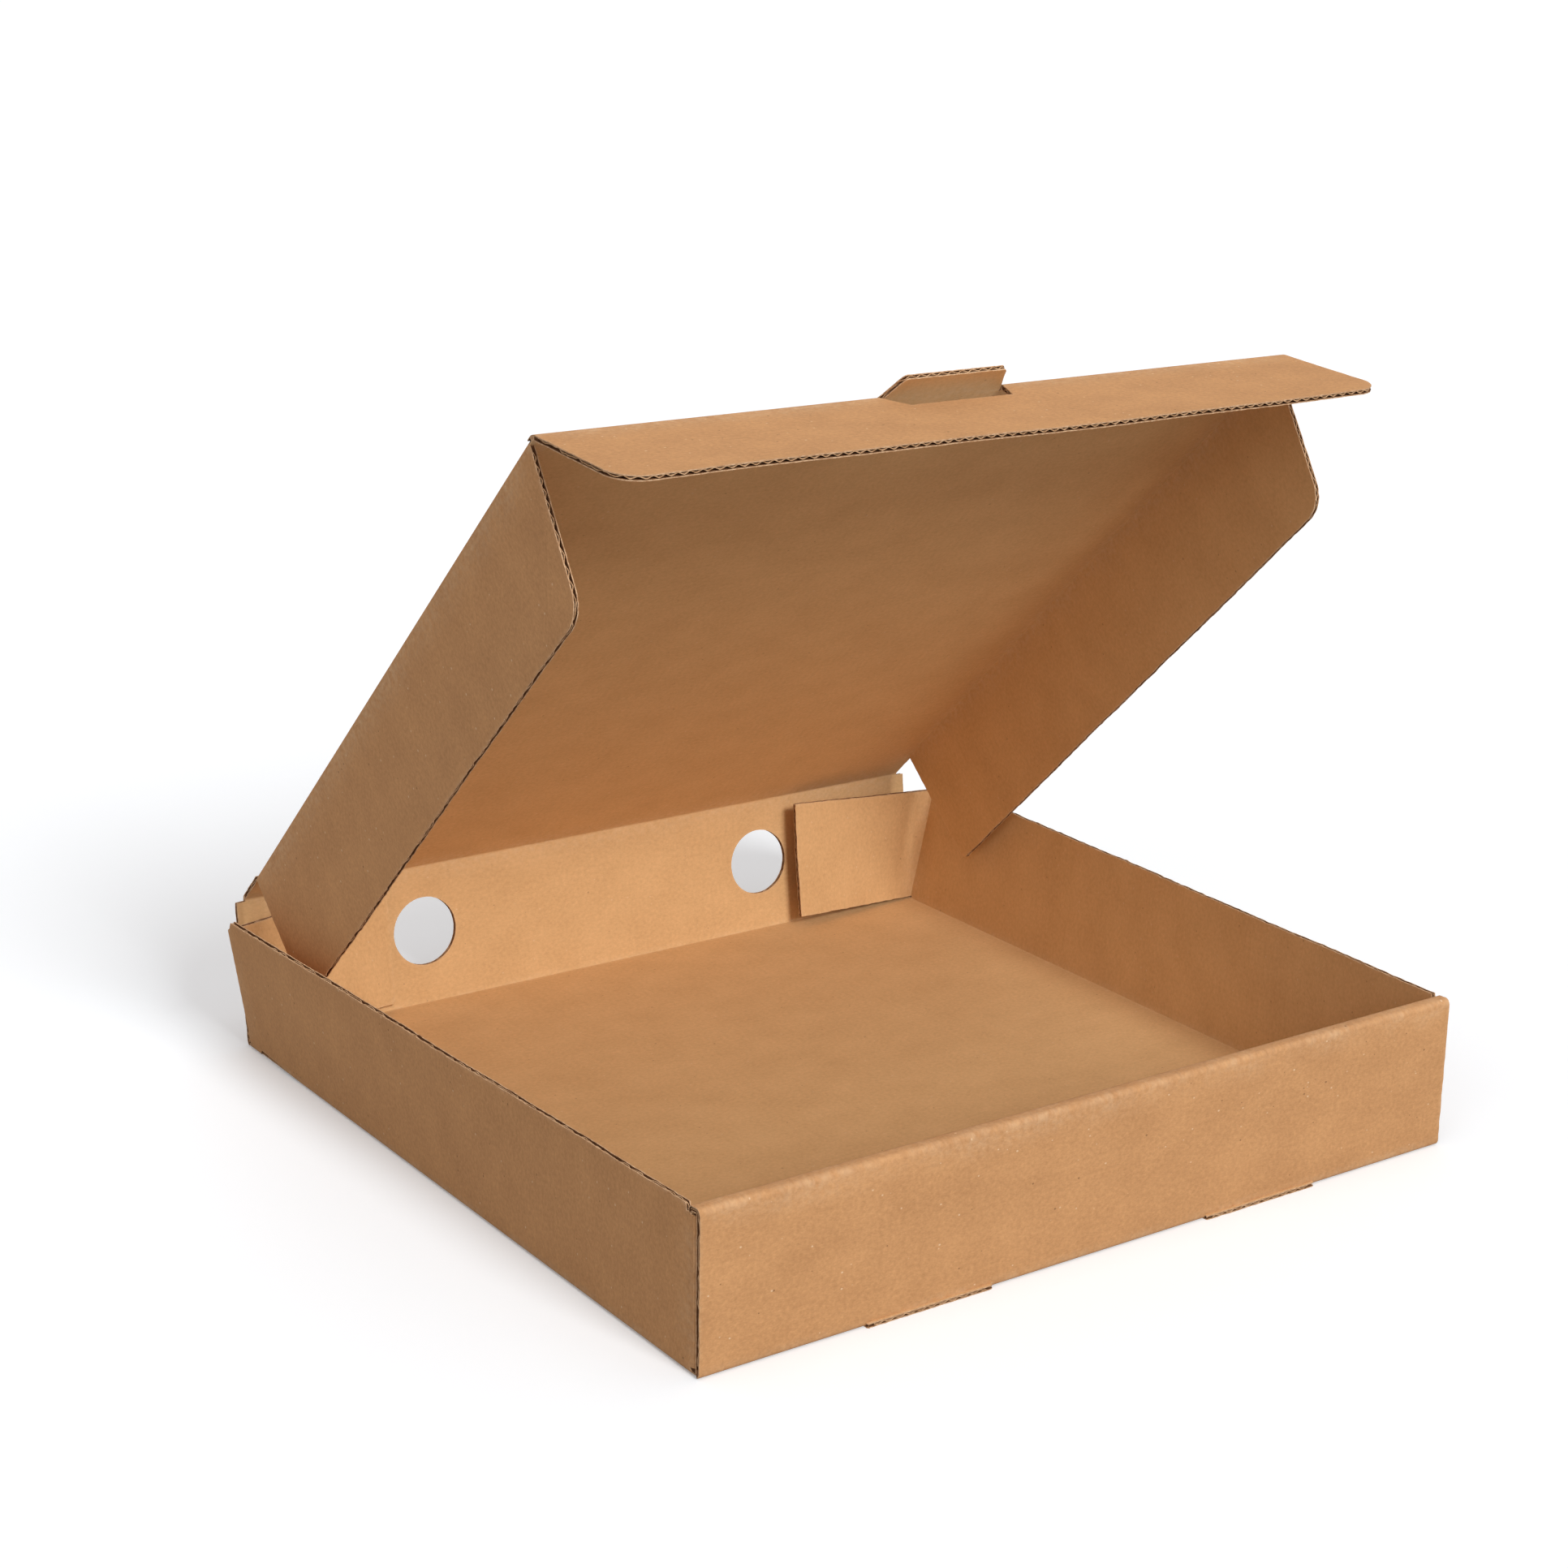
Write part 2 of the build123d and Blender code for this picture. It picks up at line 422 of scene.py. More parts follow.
class BoardPiece:
    """A folded blank as a closed board: two liners, and an open groove along its cut edges."""

    MITRE_LIMIT = 1.5
    LEAST_MITRE = 1e-6
    GROOVE_SHARES = (0.12, 0.3, 0.55, 0.8, 1.0)
    CLEAR_SHARE = 0.82
    FULL_SHARE = 0.95
    OPEN_SHARE = 0.5
    SHARE_DIGITS = 6
    JOIN_GAP = 1e-6
    FLUTE_INSET = 0.1 * MM
    FLUTE_SHARE = 0.9
    LOOK_AHEAD = 0.4 * MM
    STRAY_WAVES = ((1.5, 37.0, 1.1), (1.1, 15.3, 0.0), (0.6, 6.1, 2.0))

    def __init__(self, blank: Blank) -> None:
        """Trace the cut edges and fill the blank with points.

        Args:
            blank: The flat blank.
        """
        self.blank = blank
        self.board = blank.board
        self.random = np.random.default_rng(blank.seed)
        self.loops = [blank.sample(loop) for loop in blank.loops]
        points = np.vstack(self.loops)
        self._trace()
        self.depth = self._groove_depth(points)
        self._roughen(points)
        self._fill()

    def _trace(self) -> None:
        """Find the inward direction at each point of the cut edges, and the point after it."""
        after, inward = [], []
        first = 0
        for loop in self.loops:
            along = unit(np.roll(loop, -1, axis=0) - loop)
            left = np.column_stack((-along[:, 1], along[:, 0]))
            both = left + np.roll(left, 1, axis=0)
            mitre = 2 / np.maximum(np.linalg.norm(both, axis=1), self.LEAST_MITRE)
            inward.append(unit(both) * np.minimum(mitre, self.MITRE_LIMIT)[:, None])
            after.append(first + np.roll(np.arange(len(loop)), -1))
            first += len(loop)
        self.after = np.concatenate(after)
        self.inward = np.vstack(inward)

    def _groove_depth(self, points: Array) -> Array:
        """Find how deep the open groove can be along the cut edges.

        Args:
            points: The cut edges' points.

        Returns:
            The depth at each point, 0 where the board runs on or is pressed shut.
        """
        ends = points[self.after]
        depth = np.zeros(len(points))
        for share in self.GROOVE_SHARES:
            tried = share * self.board.groove
            reached = edge_distance(points + tried * self.inward, points, ends)
            depth = np.where(reached > self.CLEAR_SHARE * tried, tried, depth)
        if self.blank.joined is not None:
            depth[self.blank.joined(points)] = 0
        return depth

    def _roughen(self, points: Array) -> None:
        """Make the cut edges and each liner's rim a little ragged.

        Args:
            points: The cut edges' points.
        """
        board, count = self.board, len(points)
        calm = np.clip(self.depth / board.groove, 0, 1)
        calm[len(self.loops[0]) :] *= board.hole_ragged_share
        limit = board.ragged_limit
        drift = np.clip(self.random.normal(0, board.ragged, count), -limit, limit) * calm
        self.edge = points + drift[:, None] * self.inward
        frayed = self.random.normal(0, board.liner_ragged_share * board.ragged, (2, count))
        self.frays = np.abs(frayed) * calm

    def _row_points(self) -> Array:
        """Place points along the fold rows, closer together at the rows' ends.

        Returns:
            The points on the blank.
        """
        found = [np.empty((0, 2))]
        for start, end in self.blank.rows:
            length = math.dist(start, end)
            count = max(2, math.ceil(length / STEPS.row))
            near = np.arange(1, STEPS.row_end_count + 1) * STEPS.row_end / length
            share = np.concatenate((near, np.linspace(0, 1, count), 1 - near))
            share = np.unique(share.round(self.SHARE_DIGITS))[:, None]
            found.append(np.array(start) * (1 - share) + np.array(end) * share)
        return np.vstack(found)

    def _loose_points(self) -> Array:
        """Place points over the blank: a ring inside its edges, its fold rows and a grid.

        Returns:
            The points on the blank.
        """
        edge, ends = self.edge, self.edge[self.after]
        ring = edge + STEPS.ring_inset * self.inward
        ring = ring[self.depth > self.FULL_SHARE * self.board.groove][::2]
        rows = self._row_points()
        low, high = edge.min(0), edge.max(0)
        counts = np.ceil((high - low) / STEPS.grid).astype(int)
        across = np.linspace(low[0], high[0], counts[0])
        along = np.linspace(low[1], high[1], counts[1])
        grid = np.array(np.meshgrid(across, along)).reshape(2, -1).T
        ring = ring[edge_distance(ring, edge, ends) > STEPS.ring_to_edge]
        rows = rows[edge_distance(rows, edge, ends) > STEPS.row_to_edge]
        grid = grid[edge_distance(grid, edge, ends) > STEPS.grid_to_edge]
        if self.blank.rows:
            grid = grid[row_distance(grid, self.blank.rows) > STEPS.grid_to_row]
            ring = ring[row_distance(ring, self.blank.rows) > STEPS.ring_to_row]
        loose = np.vstack((ring, rows, grid))
        return loose[inside(loose, self._loops_of(edge))]

    def _fill(self) -> None:
        """Place points over the blank and join them in triangles."""
        edge = self.edge
        self.flat = np.vstack((edge, self._loose_points()))
        constraints = list(zip(range(len(edge)), self.after.tolist()))
        scaled = [Vector(point) for point in (self.flat / MM).tolist()]
        _, _, faces, origins, _, _ = delaunay_2d_cdt(scaled, constraints, [], 0, self.JOIN_GAP)
        source = [origin[0] if origin else -1 for origin in origins]
        triangles = np.array([[source[corner] for corner in face] for face in faces])
        triangles = triangles[(triangles >= 0).all(1)]
        triangles = triangles[inside(self.flat[triangles].mean(1), self._loops_of(edge))]
        corner = self.flat[triangles]
        turn = np.cross(corner[:, 1] - corner[:, 0], corner[:, 2] - corner[:, 0])
        triangles[turn < 0] = triangles[turn < 0][:, ::-1]
        self.triangles = triangles[np.abs(turn) > TINY]

    def _loops_of(self, points: Array) -> list[Array]:
        """Split the edge points into the outline and its holes."""
        cuts = np.cumsum([len(loop) for loop in self.loops])[:-1]
        return np.split(points, cuts)

    def _layers(self) -> tuple[Array, Array]:
        """Work out the board's vertices, layer by layer.

        The inner and the outer liner come first, then four rings along the cut edges: the inner
        liner's lip, the groove's two corners and the outer liner's lip.

        Returns:
            The vertices, and each one's place on the blank.
        """
        board, blank, count = self.board, self.blank, len(self.edge)
        layers, flats = [], []
        for sign, fray in ((1, self.frays[0]), (-1, self.frays[1])):
            flat = self.flat.copy()
            flat[:count] += fray[:, None] * self.inward
            layers.append(blank.settle(flat) + sign * board.half * blank.normals(flat))
            flats.append(flat)
        deep = self.edge + self.depth[:, None] * self.inward
        lip = board.half - board.liner
        for sign, flat in ((1, flats[0][:count]), (1, deep), (-1, deep), (-1, flats[1][:count])):
            layers.append(blank.settle(flat) + sign * lip * blank.normals(flat))
            flats.append(flat)
        return np.vstack(layers), np.vstack(flats)

    def _faces(self) -> tuple[list[list[int]], list[int]]:
        """Join the layers' vertices in faces.

        Returns:
            Vertex numbers of each face, and its material slot.
        """
        count, total = len(self.edge), len(self.flat)
        first = np.arange(count)
        top, low = first, total + first
        lip_top = 2 * total + first
        deep_top = np.where(self.depth > 0, lip_top + count, lip_top)
        lip_low = 2 * total + 3 * count + first
        deep_low = np.where(self.depth > 0, lip_top + 2 * count, lip_low)
        faces = [list(face) for face in self.triangles.tolist()]
        skins = [Skin.INNER.value] * len(faces)
        faces += [[total + c, total + b, total + a] for a, b, c in self.triangles.tolist()]
        skins += [Skin.OUTER.value] * (len(faces) - len(skins))
        # The groove's faces take the core slot, whose near-black colour is painted shade.
        steps = [
            (top, lip_top, Skin.RIM),
            (lip_top, deep_top, Skin.CORE),
            (deep_top, deep_low, Skin.CORE),
            (deep_low, lip_low, Skin.CORE),
            (lip_low, low, Skin.RIM),
        ]
        for upper, lower, skin in steps:
            for here, there in zip(first.tolist(), self.after.tolist()):
                ring = [upper[here], lower[here], lower[there], upper[there]]
                face = [int(corner) for k, corner in enumerate(ring) if corner != ring[k - 1]]
                if len(face) > 2:
                    faces.append(face)
                    skins.append(skin.value)
        return faces, skins

    def build(self, name: str, materials: list[Material]) -> Object:
        """Make the closed board.

        Args:
            name: Name of the piece.
            materials: Outer liner, inner liner, rim and core, the core painted near-black as shade.

        Returns:
            The piece.
        """
        points, flat = self._layers()
        faces, skins = self._faces()
        used = np.unique(np.concatenate([np.array(face) for face in faces]))
        number = np.zeros(len(points), int)
        number[used] = np.arange(len(used))
        faces = [[int(number[corner]) for corner in face] for face in faces]
        total = len(self.flat)
        edge = np.zeros(len(points))
        edge[: 2 * total] = np.tile(np.arange(total) < len(self.edge), 2)
        wear = self._fold_wear(flat[used])
        mesh = make_mesh(name, points[used], faces, skins, flat[used], wear, edge[used], materials)
        return make_object(name, mesh)

    def _fold_wear(self, flat: Array) -> Array:
        """Return how near points are to a crease.

        Args:
            flat: Points on the blank.

        Returns:
            A value from 0 to 1 for each point.
        """
        if not self.blank.creases:
            return np.zeros(len(flat))
        return np.exp(-((row_distance(flat, self.blank.creases) / self.board.wear_width) ** 2))

    def flute_path(self, name: str) -> Optional[Object]:
        """Make the line that the medium follows along the cut edges, with its directions.

        Args:
            name: Name of the new object.

        Returns:
            An object of edges, or None where no edge is open.
        """
        blank = self.blank
        is_open = self.depth > self.OPEN_SHARE * self.board.groove
        pairs = [(a, b) for a, b in enumerate(self.after.tolist()) if is_open[a] and is_open[b]]
        if not pairs:
            return None
        flat = self.edge + (self.FLUTE_INSET + self.frays.max(0))[:, None] * self.inward
        points = blank.settle(flat)
        inward = unit(blank.settle(flat + self.LOOK_AHEAD * self.inward) - points)
        mesh = bpy.data.meshes.new(name)
        mesh.from_pydata(points.tolist(), pairs, [])
        store(mesh, "board_normal", blank.normals(flat))
        store(mesh, "inward", inward)
        store(mesh, "phase", flat[:, 0] + self._stray(flat[:, 1]))
        store(mesh, "reach", self.FLUTE_SHARE * self.depth)
        return make_object(name, mesh)

    def _stray(self, along: Array) -> Array:
        """Return how far the flutes stray sideways, at distances along them."""
        turn = 2 * math.pi * along / MM
        return MM * sum(swing * np.sin(turn / length + phase) for swing, length, phase in self.STRAY_WAVES)


class NodeSheet:
    """A node tree with short calls to add nodes and join sockets."""

    MIX_FIRST = 6
    MIX_SECOND = 7
    MIX_RESULT = 2

    def __init__(self, tree: NodeTree) -> None:
        """Keep the tree."""
        self.tree = tree

    def node(
        self, kind: str, inputs: Optional[dict[Union[str, int], object]] = None, **settings: object
    ) -> Node:
        """Add a node.

        Args:
            kind: The node's type name.
            inputs: Sockets or values for its inputs, by their names or numbers.
            settings: Properties of the node to set.

        Returns:
            The node.
        """
        made = self.tree.nodes.new(kind)
        for name, value in settings.items():
            setattr(made, name, value)
        for key, value in (inputs or {}).items():
            if isinstance(value, Socket):
                self.join(value, made.inputs[key])
            else:
                made.inputs[key].default_value = value
        return made

    def join(self, source: Socket, target: Socket) -> None:
        """Link an output to an input."""
        self.tree.links.new(source, target)

    def math(self, operation: str, *values: object, clamp: bool = False) -> Socket:
        """Return the result of a math node with up to three sockets or numbers."""
        made = self.node("ShaderNodeMath", dict(enumerate(values)), operation=operation, use_clamp=clamp)
        return made.outputs[0]

    def span(self, value: Socket, limits: Point, smooth: bool = True) -> Socket:
        """Map a value between two limits onto 0 to 1.

        Args:
            value: The value.
            limits: What becomes 0 and what becomes 1.
            smooth: Whether the ends are eased.

        Returns:
            The share from 0 to 1.
        """
        inputs = {"Value": value, "From Min": limits[0], "From Max": limits[1]}
        easing = "SMOOTHSTEP" if smooth else "LINEAR"
        return self.node("ShaderNodeMapRange", inputs, interpolation_type=easing).outputs["Result"]

    def mix(self, share: object, first: object, second: object, blend: str = "MIX") -> Socket:
        """Mix two colours.

        Args:
            share: How much of the second colour.
            first: A colour or a socket.
            second: A colour or a socket.
            blend: The blending mode.

        Returns:
            The mixed colour.
        """
        inputs = {0: share, self.MIX_FIRST: first, self.MIX_SECOND: second}
        made = self.node("ShaderNodeMix", inputs, data_type="RGBA", blend_type=blend)
        return made.outputs[self.MIX_RESULT]

    def bump(self, height: Socket, depth: float, strength: float, **under: Socket) -> Socket:
        """Return a bumped normal, on top of another one where it is given as Normal."""
        inputs = {"Height": height, "Distance": depth, "Strength": strength} | under
        return self.node("ShaderNodeBump", inputs).outputs[0]

    def surface(self, inputs: dict[str, object]) -> None:
        """Show a principled shader with some inputs as the material's surface."""
        shader = self.node("ShaderNodeBsdfPrincipled", inputs)
        self.node("ShaderNodeOutputMaterial", {"Surface": shader.outputs[0]})


def new_material(name: str) -> tuple[Material, NodeSheet]:
    """Make a material without nodes.

    Args:
        name: Name of the material.

    Returns:
        The material and its empty node tree.
    """
    made = bpy.data.materials.new(name)
    made.use_nodes = True
    made.node_tree.nodes.clear()
    return made, NodeSheet(made.node_tree)


class FluteTree:
    """Geometry Nodes that lay the wavy medium between the liners along a cut edge."""

    PEAK = 0.93
    PEAK_SCALE = 0.84
    MEDIUM_SHARE = 0.55
    STEPS_PER_FLUTE = 9
    WELD = 0.002 * MM
    LABELS = ("board_normal", "inward", "phase", "reach")

    def __init__(self, board: Board) -> None:
        """Build the tree once.

        Args:
            board: Sizes of the board.
        """
        self.board = board
        self.tree = bpy.data.node_groups.new("Flute medium", "GeometryNodeTree")
        self._sockets()
        self._wire()

    def _sockets(self) -> None:
        """Add the tree's named inputs and its output."""
        face = self.tree.interface
        face.new_socket("Path", in_out="INPUT", socket_type="NodeSocketGeometry")
        for name in ("Pitch", "Swing", "Thickness", "Step"):
            face.new_socket(name, in_out="INPUT", socket_type="NodeSocketFloat")
        face.new_socket("Material", in_out="INPUT", socket_type="NodeSocketMaterial")
        face.new_socket("Medium", in_out="OUTPUT", socket_type="NodeSocketGeometry")

    @staticmethod
    def _named(sheet: NodeSheet, name: str, kind: str) -> Socket:
        """Read an attribute of the path by its name."""
        made = sheet.node("GeometryNodeInputNamedAttribute", {"Name": name}, data_type=kind)
        return made.outputs["Attribute"]

    def _wave(self, sheet: NodeSheet, given: NodeOutputs) -> Socket:
        """Work out how far the medium stands off the middle of the board.

        Args:
            sheet: The tree's nodes.
            given: The tree's inputs.

        Returns:
            The offset along the board's normal.
        """
        turns = sheet.math("DIVIDE", self._named(sheet, "phase", "FLOAT"), given["Pitch"])
        wave = sheet.math("SINE", sheet.math("MULTIPLY", turns, 2 * math.pi))
        peaked = sheet.math("ARCSINE", sheet.math("MULTIPLY", wave, self.PEAK))
        swing = sheet.math("MULTIPLY", sheet.math("MULTIPLY", peaked, self.PEAK_SCALE), given["Swing"])
        normal = self._named(sheet, "board_normal", "FLOAT_VECTOR")
        offset = sheet.node("ShaderNodeVectorMath", {0: normal, "Scale": swing}, operation="SCALE")
        return offset.outputs[0]

    def _wire(self) -> None:
        """Resample the path, wave it through the board, draw it inward and give it thickness."""
        sheet = NodeSheet(self.tree)
        given = sheet.node("NodeGroupInput").outputs
        curve = sheet.node("GeometryNodeMeshToCurve", {"Mesh": given["Path"]})
        spacing = {"Curve": curve.outputs[0], "Length": given["Step"]}
        even = sheet.node("GeometryNodeResampleCurve", spacing, mode="LENGTH")
        moved = {"Geometry": even.outputs[0], "Offset": self._wave(sheet, given)}
        waved = sheet.node("GeometryNodeSetPosition", moved)
        line = sheet.node("GeometryNodeCurveToMesh", {"Curve": waved.outputs[0]})
        drawn = {
            "Mesh": line.outputs[0],
            "Offset": self._named(sheet, "inward", "FLOAT_VECTOR"),
            "Offset Scale": self._named(sheet, "reach", "FLOAT"),
        }
        ribbon = sheet.node("GeometryNodeExtrudeMesh", drawn, mode="EDGES").outputs["Mesh"]
        raised = {"Mesh": ribbon, "Offset Scale": given["Thickness"], "Individual": False}
        thick = sheet.node("GeometryNodeExtrudeMesh", raised, mode="FACES")
        back = sheet.node("GeometryNodeFlipFaces", {"Mesh": ribbon})
        both = sheet.node("GeometryNodeJoinGeometry")
        sheet.join(thick.outputs["Mesh"], both.inputs[0])
        sheet.join(back.outputs["Mesh"], both.inputs[0])
        merged = {"Geometry": both.outputs[0], "Distance": self.WELD}
        closed = sheet.node("GeometryNodeMergeByDistance", merged)
        real = sheet.node("GeometryNodeRealizeInstances", {0: closed.outputs[0]})
        paper = {"Geometry": real.outputs[0], "Material": given["Material"]}
        dressed = sheet.node("GeometryNodeSetMaterial", paper)
        sheet.node("NodeGroupOutput", {"Medium": dressed.outputs[0]})

    def fill(self, path: Object, material: Material) -> Object:
        """Turn a path into its medium, as a plain mesh.

        Args:
            path: The line along the cut edges.
            material: The medium's material.

        Returns:
            The same object, now the medium.
        """
        board = self.board
        values = {
            "Pitch": board.pitch,
            "Swing": board.half - board.liner - self.MEDIUM_SHARE * board.medium,
            "Thickness": board.medium,
            "Step": board.pitch / self.STEPS_PER_FLUTE,
            "Material": material,
        }
        modifier = path.modifiers.new("Flutes", "NODES")
        modifier.node_group = self.tree
        for socket in self.tree.interface.items_tree:
            if socket.name in values:
                modifier[socket.identifier] = values[socket.name]
        graph = bpy.context.evaluated_depsgraph_get()
        mesh = bpy.data.meshes.new_from_object(path.evaluated_get(graph), depsgraph=graph)
        path.modifiers.clear()
        old = path.data
        path.data = mesh
        bpy.data.meshes.remove(old)
        for label in self.LABELS:
            if label in mesh.attributes:
                mesh.attributes.remove(mesh.attributes[label])
        mesh.polygons.foreach_set("use_smooth", np.ones(len(mesh.polygons), bool))
        mesh.set_sharp_from_angle(angle=FLUTE_SHARP_ANGLE)
        return path


@dataclass(frozen=True)
class Grain:
    """A noise pattern over the blank, its scale in cycles for each metre across and along."""

    scale: Point
    detail: float
    shift: float = 0.0


@dataclass(frozen=True)
class Specks:
    """Fibre specks over the blank, with their cells for each metre across and along."""

    cells: Point
    size: float
    shift: float


class EffectGroups:
    """Shader node groups that the kraft finishes share."""

    CLOUD = Grain((55.0, 75.0), 5.0)
    MOTTLE = Grain((720.0, 880.0), 3.0, 3.1)
    THREAD = Grain((1100.0, 2500.0), 2.0, 7.7)
    CLOUD_SHARE = 0.34
    MOTTLE_SHARE = 0.4
    THREAD_SHARE = 0.26
    TONE_LIMITS = (0.37, 0.63)
    MOTTLE_HEIGHT = 0.8
    PALE = Specks((330.0, 450.0), 0.14, 1.9)
    DARK = Specks((260.0, 330.0), 0.11, 5.3)
    SPECK_LIMITS = (0.4, 1.0)
    SPECK_BLUR = 0.35
    FLUTE_STRAY = Grain((25.0, 9.0), 2.0)
    FLUTE_STRAY_SHARE = 0.5
    FLUTE_PATCH = Grain((14.0, 8.0), 2.0, 4.4)
    PATCH_LIMITS = (0.35, 0.7)
    HALF = 0.5
    GRIT = Grain((500.0, 500.0), 3.0, 2.2)
    BROAD = Grain((60.0, 60.0), 2.0, 8.8)
    BROAD_LIMITS = (0.2, 0.75)
    RUB_LIMITS = (0.25, 0.75)
    FRAY_LIMITS = (0.3, 0.8)
    FRAY_POWER = 2.5
    NOISE_ROUGHNESS = 0.6
    SHIFT_SLANT = 0.37

    def __init__(self, board: Board) -> None:
        """Build the groups once.

        Args:
            board: Sizes of the board.
        """
        self.board = board
        self.fibre = self._fibre()
        self.flutes = self._flutes()
        self.wear = self._wear()

    @staticmethod
    def _group(name: str, inputs: list[str], outputs: list[str]) -> tuple[NodeSheet, NodeOutputs]:
        """Start a group with a vector input called Vector and number sockets.

        Args:
            name: Name of the group.
            inputs: Names of its inputs.
            outputs: Names of its outputs.

        Returns:
            Its nodes, and the sockets that give its inputs.
        """
        tree = bpy.data.node_groups.new(name, "ShaderNodeTree")
        for label in inputs:
            kind = "NodeSocketVector" if label == "Vector" else "NodeSocketFloat"
            tree.interface.new_socket(label, in_out="INPUT", socket_type=kind)
        for label in outputs:
            tree.interface.new_socket(label, in_out="OUTPUT", socket_type="NodeSocketFloat")
        sheet = NodeSheet(tree)
        return sheet, sheet.node("NodeGroupInput").outputs

    def _scaled(self, sheet: NodeSheet, vector: Socket, scale: Point, shift: float) -> Socket:
        """Return a place on the blank, stretched across and along and moved away from other patterns."""
        inputs = {"Vector": vector, "Scale": (*scale, 1), "Location": (shift, self.SHIFT_SLANT * shift, 0)}
        return sheet.node("ShaderNodeMapping", inputs).outputs[0]

    def _noise(self, sheet: NodeSheet, vector: Socket, grain: Grain) -> Socket:
        """Add a noise texture.

        Args:
            sheet: The group's nodes.
            vector: A place on the blank.
            grain: The pattern.

        Returns:
            The noise, about a half on the whole.
        """
        place = self._scaled(sheet, vector, grain.scale, grain.shift)
        inputs = {"Vector": place, "Scale": 1.0, "Detail": grain.detail, "Roughness": self.NOISE_ROUGHNESS}
        return sheet.node("ShaderNodeTexNoise", inputs).outputs[0]

    def _specks(self, sheet: NodeSheet, vector: Socket, specks: Specks) -> Socket:
        """Scatter small fibre specks of uneven size, in about half of the cells.

        Args:
            sheet: The group's nodes.
            vector: A place on the blank.
            specks: Their cells and size.

        Returns:
            1 on a speck and 0 beside it.
        """
        place = self._scaled(sheet, vector, specks.cells, specks.shift)
        made = sheet.node("ShaderNodeTexVoronoi", {"Vector": place, "Scale": 1.0}, feature="F1")
        chance = sheet.node("ShaderNodeSeparateColor", {0: made.outputs["Color"]}).outputs[0]
        room = sheet.math("MULTIPLY", sheet.span(chance, self.SPECK_LIMITS), specks.size)
        near = sheet.math("SUBTRACT", room, made.outputs["Distance"])
        return sheet.span(near, (0.0, self.SPECK_BLUR * specks.size))

    def _fibre(self) -> NodeTree:
        """Build the group for the paper's cloudiness, fibres and specks.

        Returns:
            The group.
        """
        sheet, given = self._group("Kraft fibre", ["Vector"], ["Tone", "Pale", "Dark", "Height"])
        vector = given["Vector"]
        cloud = self._noise(sheet, vector, self.CLOUD)
        mottle = self._noise(sheet, vector, self.MOTTLE)
        thread = self._noise(sheet, vector, self.THREAD)
        coarse = sheet.math(
            "ADD",
            sheet.math("MULTIPLY", cloud, self.CLOUD_SHARE),
            sheet.math("MULTIPLY", mottle, self.MOTTLE_SHARE),
        )
        tone = sheet.math("ADD", coarse, sheet.math("MULTIPLY", thread, self.THREAD_SHARE))
        made = {
            "Tone": sheet.span(tone, self.TONE_LIMITS, smooth=False),
            "Pale": self._specks(sheet, vector, self.PALE),
            "Dark": self._specks(sheet, vector, self.DARK),
            "Height": sheet.math("ADD", thread, sheet.math("MULTIPLY", mottle, self.MOTTLE_HEIGHT)),
        }
        sheet.node("NodeGroupOutput", made)
        return sheet.tree

    def _flutes(self) -> NodeTree:
        """Build the group for the faint lines of the flutes: their pressed relief, and painted shade darker
        in the valleys and lighter on the crests.

        Returns:
            The group.
        """
        sheet, given = self._group("Flute lines", ["Vector", "Pitch"], ["Lines", "Height"])
        vector = given["Vector"]
        across = sheet.node("ShaderNodeSeparateXYZ", {0: vector}).outputs[0]
        stray = self._noise(sheet, vector, self.FLUTE_STRAY)
        stray = sheet.math("MULTIPLY", stray, self.FLUTE_STRAY_SHARE)
        turns = sheet.math("ADD", sheet.math("DIVIDE", across, given["Pitch"]), stray)
        wave = sheet.math("SINE", sheet.math("MULTIPLY", turns, 2 * math.pi))
        patch = sheet.span(self._noise(sheet, vector, self.FLUTE_PATCH), self.PATCH_LIMITS)
        raised = sheet.math("MULTIPLY_ADD", wave, self.HALF, self.HALF)
        lines = sheet.math("ADD", sheet.math("MULTIPLY", raised, patch), self.HALF)
        sheet.node("NodeGroupOutput", {"Lines": lines, "Height": wave})
        return sheet.tree

    def _wear(self) -> NodeTree:
        """Build the group for rubbed folds and cut edges.

        Returns:
            The group.
        """
        names = ["Vector", "Fold", "Edge"]
        sheet, given = self._group("Fold wear", names, ["Rubbed", "Frayed", "Height"])
        grit = self._noise(sheet, given["Vector"], self.GRIT)
        broad = self._noise(sheet, given["Vector"], self.BROAD)
        fold = sheet.math("MULTIPLY", given["Fold"], sheet.span(broad, self.BROAD_LIMITS))
        edge = sheet.math("POWER", given["Edge"], self.FRAY_POWER)
        made = {
            "Rubbed": sheet.math("MULTIPLY", fold, sheet.span(grit, self.RUB_LIMITS), clamp=True),
            "Frayed": sheet.math("MULTIPLY", edge, sheet.span(grit, self.FRAY_LIMITS), clamp=True),
            "Height": sheet.math("MULTIPLY", given["Fold"], grit),
        }
        sheet.node("NodeGroupOutput", made)
        return sheet.tree


